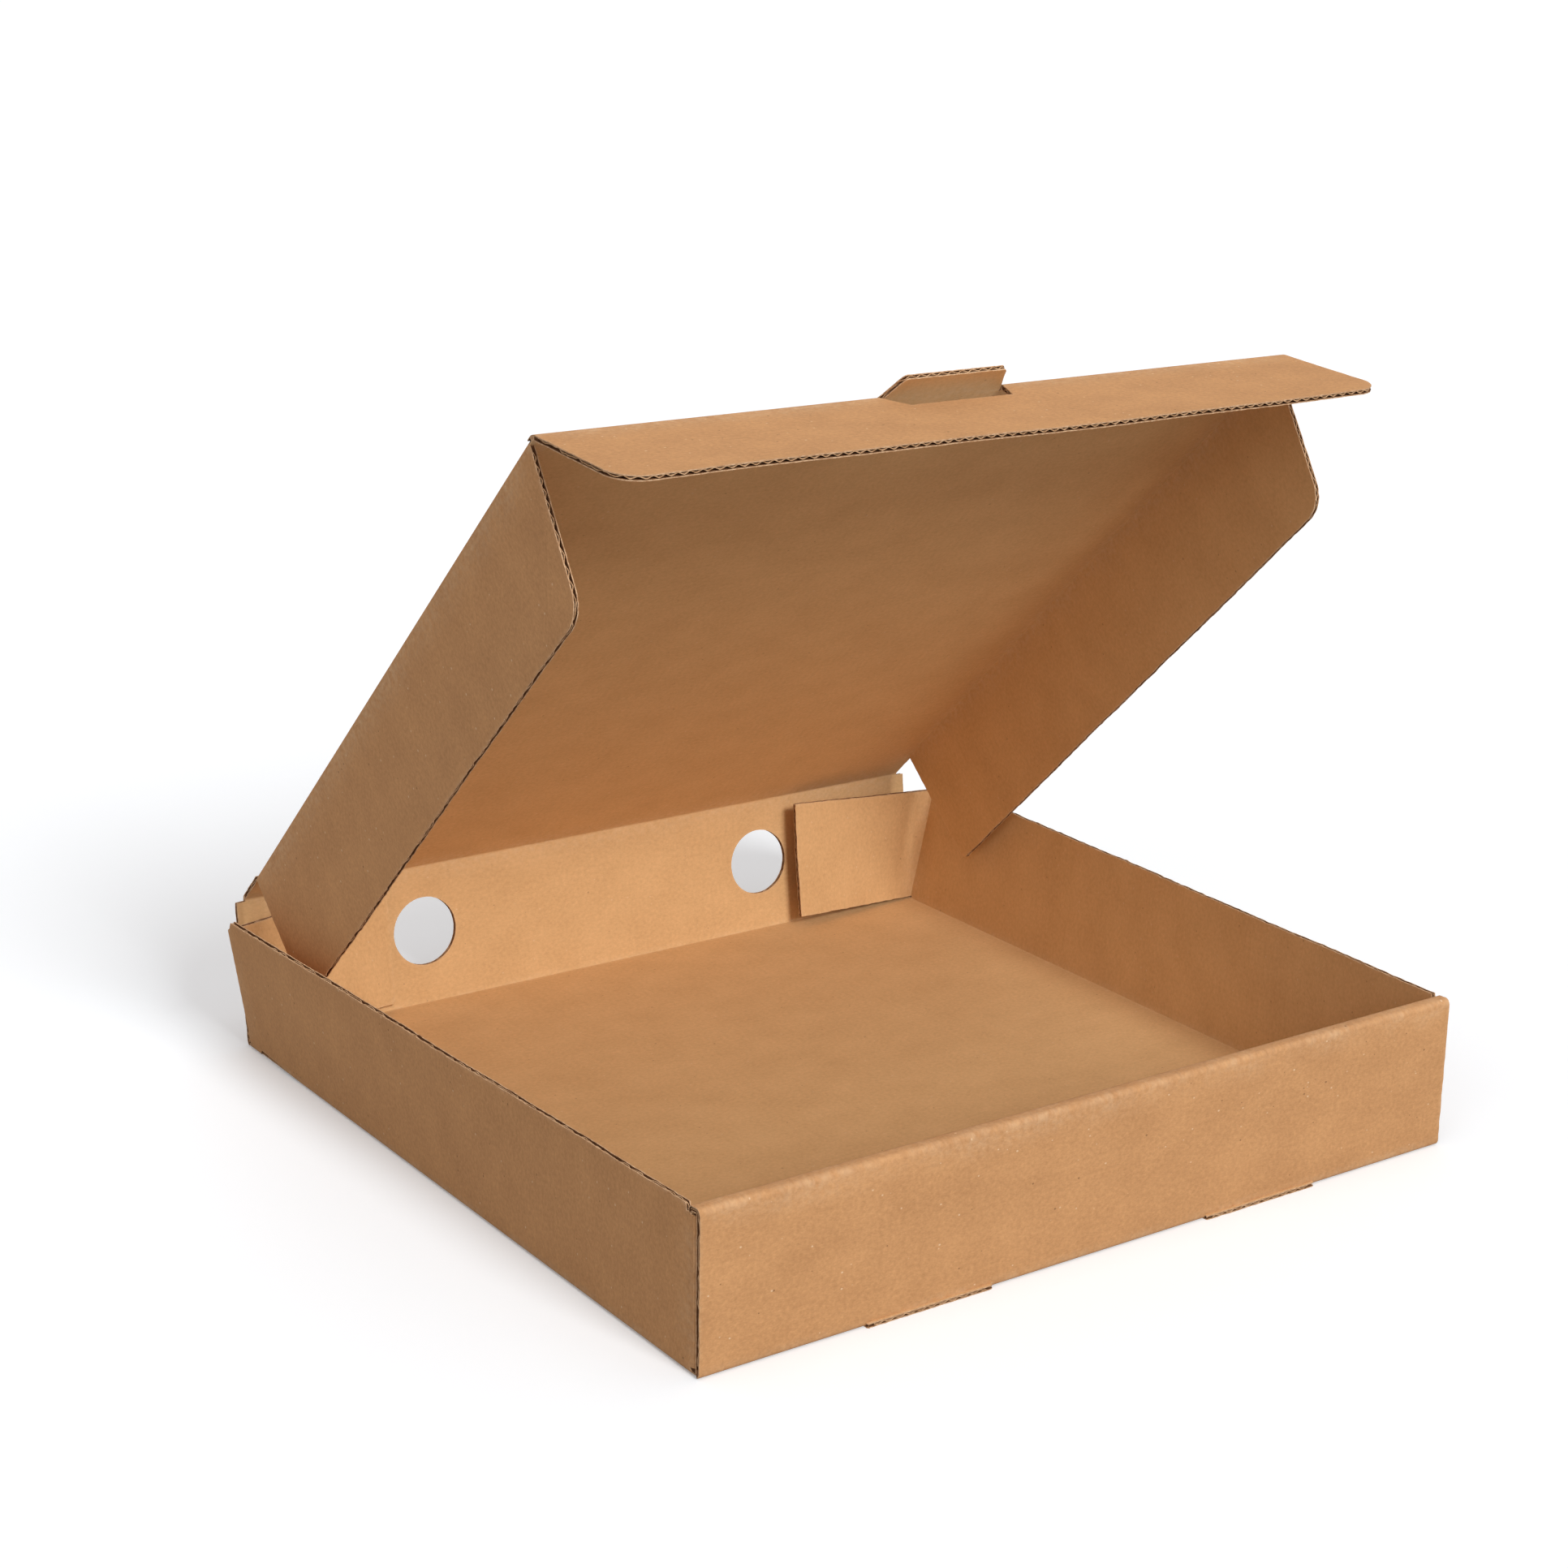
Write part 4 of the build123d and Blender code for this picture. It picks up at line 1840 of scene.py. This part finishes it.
    def _outer_edge(self) -> Array:
        """Trace the blank's outer cut edge.

        Returns:
            Its points, anticlockwise.
        """
        end = self.front_start - self._front_length()
        tuck, lock, step = end + self.tuck_gap, end + self.lock_gap, end + self.inner_height
        near, far = self.lock_spacing - self.lock_half_width, self.lock_spacing + self.lock_half_width
        foot = self.side_start - self.foot_lap
        front = [
            (near, tuck), (near, lock), (far, lock), (far, tuck),
            (self.inner_half, tuck), (self.inner_half, step),
            (self.front_half, step + self.corner_room),
            (self.front_half, self.front_start - self.corner_slant),
            (foot, self.front_start - self.corner_room),
        ]
        rear = [
            (foot, self.rear_start + self.corner_room),
            (self.rear_half, self.rear_start + self.corner_slant),
            (self.rear_half, self.rear_run_at(self.plan.wall_height)),
        ]
        right = front + self._wall_outline(Side.RIGHT) + rear
        left = front + self._wall_outline(Side.LEFT) + rear
        return np.array(right + [(-x, y) for x, y in reversed(left)])

    def outline(self) -> list[Array]:
        """Trace all cut edges of the blank.

        Returns:
            The outer edge, the vents, the slots for the lock tabs and the slit.
        """
        loops = [self._outer_edge()]
        slot_y = self.plan.front_inner_y - self.plan.board.half
        wide, deep = self.lock_half_width + self.lock_play, self.plan.board.half + self.lock_play
        vent_y = self.rear_run_at(self.vent_height)
        for side in Side:
            loops.append(circle(side.value * self.vent_spacing, vent_y, self.vent_radius))
            middle = side.value * self.lock_spacing
            hole = [(-wide, -deep), (-wide, deep), (wide, deep), (wide, -deep)]
            loops.append(np.array([(middle + x, slot_y + y) for x, y in hole]))
        slit = [(-self.side_start - up, self.slit_rear - forward) for up, forward in self.slit]
        loops.append(np.array(slit))
        return loops

    def rows(self) -> tuple[list[Row], list[Row]]:
        """Lay rows of points across each fold.

        Returns:
            The rows, and the middle line of each fold.
        """
        board, quarter = self.plan.board, self.plan.board.quarter_turn
        rows, creases = [], []

        def level(line: float) -> Row:
            """Return a row across the whole blank."""
            return (-self.parting, line), (self.parting, line)

        def upright(side: Side, low: Point, top: Point, shift: float) -> Row:
            """Return a row over a side wall, moved along by some distance."""
            return (side.value * low[0], low[1] + shift), (side.value * top[0], top[1] + shift)

        def along_side(side: Side, share: float) -> Row:
            """Return a row along a side fold."""
            line = side.value * (self.side_start + share * quarter)
            return (line, self.corner_y), (line, self.side_rear_y)

        rise = self.plan.wall_height - board.half - board.bend - self.arc_height
        flat_top = self.middle - (-self.plan.front_inner_y + board.half) - 2 * board.bend
        runs = (0.0, quarter + rise, 2 * quarter + rise + flat_top)
        for run, shares in zip(runs, (self.FOLD_SHARES, self.BEND_SHARES, self.BEND_SHARES)):
            rows += [level(self.front_start - run - share * quarter) for share in shares]
            creases.append(level(self.front_start - run - quarter / 2))
        rear = board.bend * self.rear_angle
        rows += [level(self.rear_start + share * rear) for share in self.FOLD_SHARES]
        creases.append(level(self.rear_start + quarter / 2))
        spare = self.notch / 2
        for side in Side:
            rows += [along_side(side, share) for share in self.FOLD_SHARES]
            creases.append(along_side(side, 1 / 2))
            low = (self.run_at(self.front_tab_low - spare), self.front_fold_y)
            top = (self.run_at(self.front_tab_high + spare), self.front_fold_y)
            rows += [upright(side, low, top, -share * quarter) for share in self.BEND_SHARES]
            creases.append(upright(side, low, top, -quarter / 2))
            low = self._tab_point(side, self.rear_tab_low - spare, 0)
            top = self._tab_point(side, self.rear_tab_high + spare, 0)
            rows += [upright(side, low, top, share * quarter) for share in self.BEND_SHARES]
            creases.append(upright(side, low, top, quarter / 2))
        return rows, creases

    def sway(self, flat: Array) -> Array:
        """Work out the slight waves of the side walls' free top edges.

        Args:
            flat: Points on the blank.

        Returns:
            How far each point strays.
        """
        across, along = flat[:, 0], flat[:, 1]
        run = np.abs(across) - self.side_start
        wall = np.clip(run / self.wall_run, 0, 1) ** 2 * (run < self.wall_run + self.sway_margin)
        front_end = np.clip((along - self.corner_y) / self.sway_ease, 0, 1)
        rear_end = np.clip((self.sway_rear - along) / self.sway_ease, 0, 1)
        wave = ripple(along, self.sway_long, self.sway_short, self.sway_phase * np.sign(across))
        out = np.zeros((len(flat), 3))
        out[:, 0] = self.sway_swing * wall * (front_end * rear_end) * wave
        return out

    def ledge(self, side: Side) -> Blank:
        """Return the blank of a lock slot's lip under the front fold.

        Args:
            side: The lip's side.

        Returns:
            The lip's blank.
        """
        thin = Board(thickness=self.ledge_height, groove=self.ledge_groove, ragged=self.ledge_ragged)
        front = -self.plan.half_depth - self.ledge_reach
        rear = front + self.ledge_depth
        middle = side.value * self.lock_spacing
        left, right = middle - self.lock_half_width, middle + self.lock_half_width
        corners = [(left, front, self.ledge_radius), (right, front, self.ledge_radius)]
        corners += [(right, rear, 0), (left, rear, 0)]

        def lay(flat: Array) -> Array:
            """Lay the lip flat on the table."""
            return np.column_stack((flat, np.full(len(flat), thin.half)))

        return Blank(thin, [rounded(corners, steps=4)], lay, seed=self.ledge_seed + side.value)

    def blank(self) -> Blank:
        """Lay out the tray's blank.

        Returns:
            The blank, with its outline, its folds and its closed edges.
        """
        rows, creases = self.rows()
        top = self.rear_run_at(self.plan.wall_height)

        def joined(flat: Array) -> Array:
            """Tell where the rear wall runs on into the hinge fold and where a corner is pressed shut.

            Args:
                flat: Points on the blank.

            Returns:
                True for each such point.
            """
            out, along = np.abs(flat[:, 0]), flat[:, 1]
            hinge = (along > top - TOUCH) & (out < self.plan.lid_half_width + self.hinge_room)
            front = np.abs(along - self.corner_y) < self.press
            rear = np.abs(along - self.side_rear_y + self.rake / 2) < self.rake / 2 + self.press
            return hinge | ((out > self.side_start) & (front | rear))

        return Blank(
            self.plan.board, self.outline(), self.place, rows, creases, joined, self.sway, self.seed
        )

    def build(self, shop: Workshop) -> None:
        """Build the folded board and the two lips, and dress them.

        Args:
            shop: Makes the panels.
        """
        shop.panel("tray_board", self.blank(), "tray", "tray")
        for side in Side:
            shop.panel("lock_lip_" + side.name.lower(), self.ledge(side), "tray")


@dataclass
class Lid:
    """The lid's flat panel with its thumb tab."""

    plan: BoxPlan
    seed: int = 12

    def place(self, flat: Array) -> Array:
        """Lay points of the blank on the lid's middle plane."""
        plan = self.plan
        return plan.hinge + flat[:, :1] * ACROSS + flat[:, 1:] * plan.lid_along

    def blank(self) -> Blank:
        """Lay out the lid's blank.

        Returns:
            The blank, with its outline and its closed edges.
        """
        plan = self.plan
        wide, narrow = plan.lid_half_width, plan.side_corner - plan.side_fold_reach
        start, end = plan.lid_start, plan.lid_depth - plan.fold_reach
        rear, front = plan.side_flap_rear, plan.side_flap_front
        thumb, tip = plan.thumb_half_width, plan.lid_depth + plan.thumb_length
        right = [
            (wide, start, 0), (wide, rear, 0), (narrow, rear, 0), (narrow, front, 0),
            (wide, front, 0), (wide, end, 0), (thumb, end, 0), (thumb, plan.lid_depth, 0),
            (thumb - plan.thumb_taper, tip, plan.thumb_radius),
        ]

        def joined(flat: Array) -> Array:
            """Tell where the panel runs on into a fold.

            Args:
                flat: Points on the blank.

            Returns:
                True for each such point.
            """
            x, y = np.abs(flat[:, 0]), flat[:, 1]
            hinge = y < start + TOUCH
            side = (np.abs(x - narrow) < TOUCH) & (y > rear - TOUCH) & (y < front + TOUCH)
            fold = (np.abs(y - end) < TOUCH) & (x > thumb - TOUCH)
            return hinge | side | fold

        creases = [((-wide, y), (wide, y)) for y in (0.0, plan.lid_depth)]
        creases += [((side.value * wide, rear), (side.value * wide, front)) for side in Side]
        loops = [rounded(mirrored(right), steps=4)]
        return Blank(plan.board, loops, self.place, [], creases, joined, seed=self.seed)

    def build(self, shop: Workshop) -> None:
        """Build the panel and dress it."""
        shop.panel("lid_board", self.blank(), "lid", "lid")


@dataclass
class FrontFlap:
    """The tuck flap along the lid's front fold, notched around the thumb tab."""

    plan: BoxPlan
    depth: float = 41.0 * MM
    radius: float = 9.0 * MM
    sway_swing: float = 0.2 * MM
    sway_long: float = 31.0 * MM
    sway_short: float = 11.0 * MM
    sway_phase: float = 0.6
    seed: int = 13

    def place(self, flat: Array) -> Array:
        """Lay points of the blank on the flap's middle plane, their along measured on from the lid's."""
        plan, past = self.plan, flat[:, 1:] - self.plan.lid_depth
        return plan.front_fold + flat[:, :1] * ACROSS + past * plan.flap_along

    def sway(self, flat: Array) -> Array:
        """Work out the slight bow of the flap's free edge.

        Args:
            flat: Points on the blank.

        Returns:
            How far each point strays.
        """
        share = np.clip((flat[:, 1] - self.plan.lid_depth) / self.depth, 0, 1) ** 2
        wave = ripple(flat[:, 0], self.sway_long, self.sway_short, self.sway_phase)
        normal = np.cross(ACROSS, self.plan.flap_along)
        return (self.sway_swing * share * wave)[:, None] * normal

    def blank(self) -> Blank:
        """Lay out the flap's blank.

        Returns:
            The blank, with its outline and its closed edges.
        """
        plan, wide = self.plan, self.plan.lid_half_width
        start, end = plan.lid_depth + plan.fold_reach, plan.lid_depth + self.depth
        notch = plan.thumb_half_width + plan.thumb_play
        notch_end = plan.lid_depth + plan.thumb_length + plan.thumb_play
        right = [
            (notch - plan.thumb_taper, notch_end, 0),
            (notch, start, 0),
            (wide, start, 0),
            (wide, end, self.radius),
        ]

        def joined(flat: Array) -> Array:
            """Tell where the flap runs on into the fold."""
            return flat[:, 1] < start + TOUCH

        creases = [((-wide, plan.lid_depth), (wide, plan.lid_depth))]
        loops = [rounded(mirrored(right), steps=12)]
        return Blank(plan.board, loops, self.place, [], creases, joined, self.sway, self.seed)

    def build(self, shop: Workshop) -> None:
        """Build the flap and dress it."""
        shop.panel("front_flap_board", self.blank(), "lid_front_flap", "lid_front_flap")


@dataclass
class SideFlap:
    """A tuck flap along one of the lid's side folds, at a right angle to the lid."""

    plan: BoxPlan
    side: Side
    depth: float = 42.5 * MM
    front_taper: float = 10.0 * MM
    rear_taper: float = 3.0 * MM
    front_radius: float = 9.0 * MM
    rear_radius: float = 2.0 * MM
    sway_swing: float = 0.2 * MM
    sway_long: float = 27.0 * MM
    sway_short: float = 9.0 * MM
    seed: int = 14

    def place(self, flat: Array) -> Array:
        """Lay points of the blank on the flap's middle plane.

        Args:
            flat: Points on the blank.

        Returns:
            Points in the middle of the board.
        """
        plan = self.plan
        deep = np.abs(flat[:, :1]) - plan.side_corner
        middle = plan.hinge + self.side.value * plan.side_corner * ACROSS
        return middle + deep * plan.lid_inward + flat[:, 1:] * plan.lid_along

    def sway(self, flat: Array) -> Array:
        """Work out the slight bow of the flap's free edge.

        Args:
            flat: Points on the blank.

        Returns:
            How far each point strays.
        """
        share = np.clip((np.abs(flat[:, 0]) - self.plan.side_corner) / self.depth, 0, 1) ** 2
        wave = ripple(flat[:, 1], self.sway_long, self.sway_short, self.side.value)
        return (self.sway_swing * share * wave)[:, None] * ACROSS

    def blank(self) -> Blank:
        """Lay out the flap's blank.

        Returns:
            The blank, with its outline and its closed edges.
        """
        plan = self.plan
        start = plan.side_corner + plan.side_fold_reach
        end = plan.side_corner + plan.board.half + self.depth
        rear, front = plan.side_flap_rear, plan.side_flap_front
        corners = [
            (start, rear, 0),
            (end, rear + self.rear_taper, self.rear_radius),
            (end, front - self.front_taper, self.front_radius),
            (start, front, 0),
        ]
        if self.side is Side.LEFT:
            corners = [(-x, y, radius) for x, y, radius in reversed(corners)]

        def joined(flat: Array) -> Array:
            """Tell where the flap runs on into the fold."""
            return np.abs(flat[:, 0]) < start + TOUCH

        line = self.side.value * plan.side_corner
        creases = [((line, rear), (line, front))]
        loops = [rounded(corners, steps=12)]
        seed = self.seed + self.side.value
        return Blank(plan.board, loops, self.place, [], creases, joined, self.sway, seed)

    def build(self, shop: Workshop) -> None:
        """Build the flap and dress it."""
        name = self.side.name.lower()
        shop.panel(name + "_flap_board", self.blank(), "lid_" + name + "_flap", "lid_" + name + "_flap")


@dataclass
class Folds:
    """The four folds that move."""

    plan: BoxPlan
    hinge_hold: float = 0.33 * MM
    front_hold: float = 0.31 * MM

    def build(self, shop: Workshop) -> None:
        """Build the hinge, the front fold and the side folds, and dress them.

        Args:
            shop: Makes the creases.
        """
        shop.crease("hinge_fold", self._hinge(), "tray", "lid")
        shop.crease("front_fold", self._front(), "lid", "lid_front_flap")
        for side in Side:
            name = side.name.lower()
            shop.crease(name + "_fold", self._side(side), "lid", "lid_" + name + "_flap")

    def _hinge(self) -> FoldStrip:
        """Return the fold between the rear wall and the lid."""
        plan = self.plan
        return FoldStrip(
            board=plan.board,
            corner=plan.hinge_corner,
            before=plan.wall_along,
            after=plan.lid_along,
            axis=ACROSS,
            reach=plan.hinge_reach,
            spans=[(-plan.lid_half_width, plan.lid_half_width)],
            flat_start=np.array([0.0, -plan.hinge_reach]),
            hold=self.hinge_hold,
        )

    def _front(self) -> FoldStrip:
        """Shape the fold between the lid and its front flap.

        Returns:
            The crease, on both sides of the thumb tab.
        """
        plan, wide = self.plan, self.plan.lid_half_width
        notch = plan.thumb_half_width + plan.thumb_play
        return FoldStrip(
            board=plan.board,
            corner=plan.front_fold,
            before=plan.lid_along,
            after=plan.flap_along,
            axis=ACROSS,
            reach=plan.fold_reach,
            spans=[(-wide, -notch), (notch, wide)],
            flat_start=np.array([0.0, plan.lid_depth - plan.fold_reach]),
            hold=self.front_hold,
        )

    def _side(self, side: Side) -> FoldStrip:
        """Return the fold between the lid and one of its side flaps."""
        plan, out = self.plan, side.value * ACROSS
        return FoldStrip(
            board=plan.board,
            corner=plan.hinge + plan.side_corner * out,
            before=out,
            after=plan.lid_inward,
            axis=plan.lid_along,
            reach=plan.side_fold_reach,
            spans=[(plan.side_flap_rear, plan.side_flap_front)],
            flat_start=np.array([side.value * (plan.side_corner - plan.side_fold_reach), 0.0]),
            flat_across=(side.value, 0.0),
            flat_axis=(0.0, 1.0),
        )


@dataclass(frozen=True)
class Lamp:
    """A broad lamp: where it shines from, its strength and how broad it looks in degrees."""

    name: str
    direction: Point3
    strength: float
    angle: float

    def build(self) -> None:
        """Add the lamp to the scene."""
        data = bpy.data.lights.new(self.name, "SUN")
        data.energy = self.strength
        data.angle = math.radians(self.angle)
        lamp = make_object(self.name, data)
        lamp.rotation_euler = Vector(self.direction).to_track_quat("Z", "Y").to_euler()


@dataclass(frozen=True)
class Studio:
    """The plain white studio: floor, light and camera."""

    lens: float = 68.06
    sensor: float = 36.0
    azimuth: float = -34.962
    elevation: float = 17.164
    roll: float = 0.819
    camera_place: Point3 = (-0.4784, -0.6619, 0.3485)
    clip_start: float = 0.02
    clip_end: float = 60.0
    lamps: tuple[Lamp, ...] = (
        Lamp("key", direction=(0.03, -0.85, 0.52), strength=2.25, angle=20.0),
        Lamp("fill", direction=(-0.79, -0.45, 0.42), strength=0.45, angle=40.0),
        Lamp("top", direction=(0.05, 0.05, 1.0), strength=0.65, angle=60.0),
    )
    sky_colour: Colour = (1.0, 0.89, 0.84)
    sky_strength: float = 0.34
    floor_bounce: float = 0.4
    floor_tone: Colour = (0.91, 0.96, 1.0)
    floor_glow: float = 0.15
    floor_roughness: float = 0.95
    floor_size: float = 20.0
    white: Colour = (1.0, 1.0, 1.0)

    def build(self) -> None:
        """Set up the whole studio."""
        self._camera()
        for lamp in self.lamps:
            lamp.build()
        self._sky()
        self._floor()
        bpy.context.scene.view_settings.view_transform = "Standard"

    def _camera(self) -> None:
        """Place the camera as in the photograph."""
        data = bpy.data.cameras.new("camera")
        data.lens = self.lens
        data.sensor_width = self.sensor
        data.clip_start = self.clip_start
        data.clip_end = self.clip_end
        camera = make_object("camera", data)
        turn, lift, tilt = (math.radians(value) for value in (self.azimuth, self.elevation, self.roll))
        level = math.cos(lift)
        back = Vector((math.sin(turn) * level, -math.cos(turn) * level, math.sin(lift)))
        right = Vector((0, 0, 1)).cross(back).normalized()
        up = back.cross(right)
        tilted_right = right * math.cos(tilt) + up * math.sin(tilt)
        tilted_up = up * math.cos(tilt) - right * math.sin(tilt)
        pose = Matrix((tilted_right, tilted_up, back)).transposed().to_4x4()
        pose.translation = Vector(self.camera_place)
        camera.matrix_world = pose
        bpy.context.scene.camera = camera

    @staticmethod
    def _seen(sheet: NodeSheet) -> Socket:
        """Tell rays from the camera, a mirror or through glass from others.

        Args:
            sheet: The material's or the world's nodes.

        Returns:
            1 for such a ray and 0 for others.
        """
        rays = sheet.node("ShaderNodeLightPath").outputs
        indirect = sheet.math("MAXIMUM", rays["Is Glossy Ray"], rays["Is Transmission Ray"])
        return sheet.math("MAXIMUM", rays["Is Camera Ray"], indirect)

    def _sky(self) -> None:
        """Light the room evenly, and show it white."""
        world = bpy.data.worlds.new("studio")
        bpy.context.scene.world = world
        world.use_nodes = True
        world.node_tree.nodes.clear()
        sheet = NodeSheet(world.node_tree)
        seen = self._seen(sheet)
        added = 1 - self.sky_strength
        look = {
            "Color": sheet.mix(seen, (*self.sky_colour, 1), (*self.white, 1)),
            "Strength": sheet.math("MULTIPLY_ADD", seen, added, self.sky_strength),
        }
        light = sheet.node("ShaderNodeBackground", look)
        sheet.node("ShaderNodeOutputWorld", {"Surface": light.outputs[0]})

    def _floor(self) -> None:
        """Lay a pale floor that keeps the box's shadow."""
        half = self.floor_size
        corners = [(-half, -half, 0), (half, -half, 0), (half, half, 0), (-half, half, 0)]
        mesh = bpy.data.meshes.new("floor")
        mesh.from_pydata(corners, [], [(0, 1, 2, 3)])
        floor = make_object("floor", mesh)
        material, sheet = new_material("pale_floor")
        seen = self._seen(sheet)
        bounced = (self.floor_bounce,) * 3
        look = {
            "Base Color": sheet.mix(seen, (*bounced, 1), (*self.floor_tone, 1)),
            "Roughness": self.floor_roughness,
            "Specular IOR Level": 0.0,
            "Emission Color": (*self.white, 1),
            "Emission Strength": sheet.math("MULTIPLY", seen, self.floor_glow),
        }
        sheet.surface(look)
        mesh.materials.append(material)


def main() -> None:
    """Build the box and its studio."""
    logging.basicConfig(level=logging.INFO, format="%(message)s")
    plan = BoxPlan()
    shop = Workshop(plan.board)
    panels = [Tray(plan), Lid(plan), FrontFlap(plan), SideFlap(plan, Side.LEFT), SideFlap(plan, Side.RIGHT)]
    for part in [*panels, Folds(plan)]:
        part.build(shop)
    Studio().build()


if __name__ == "__main__":
    main()
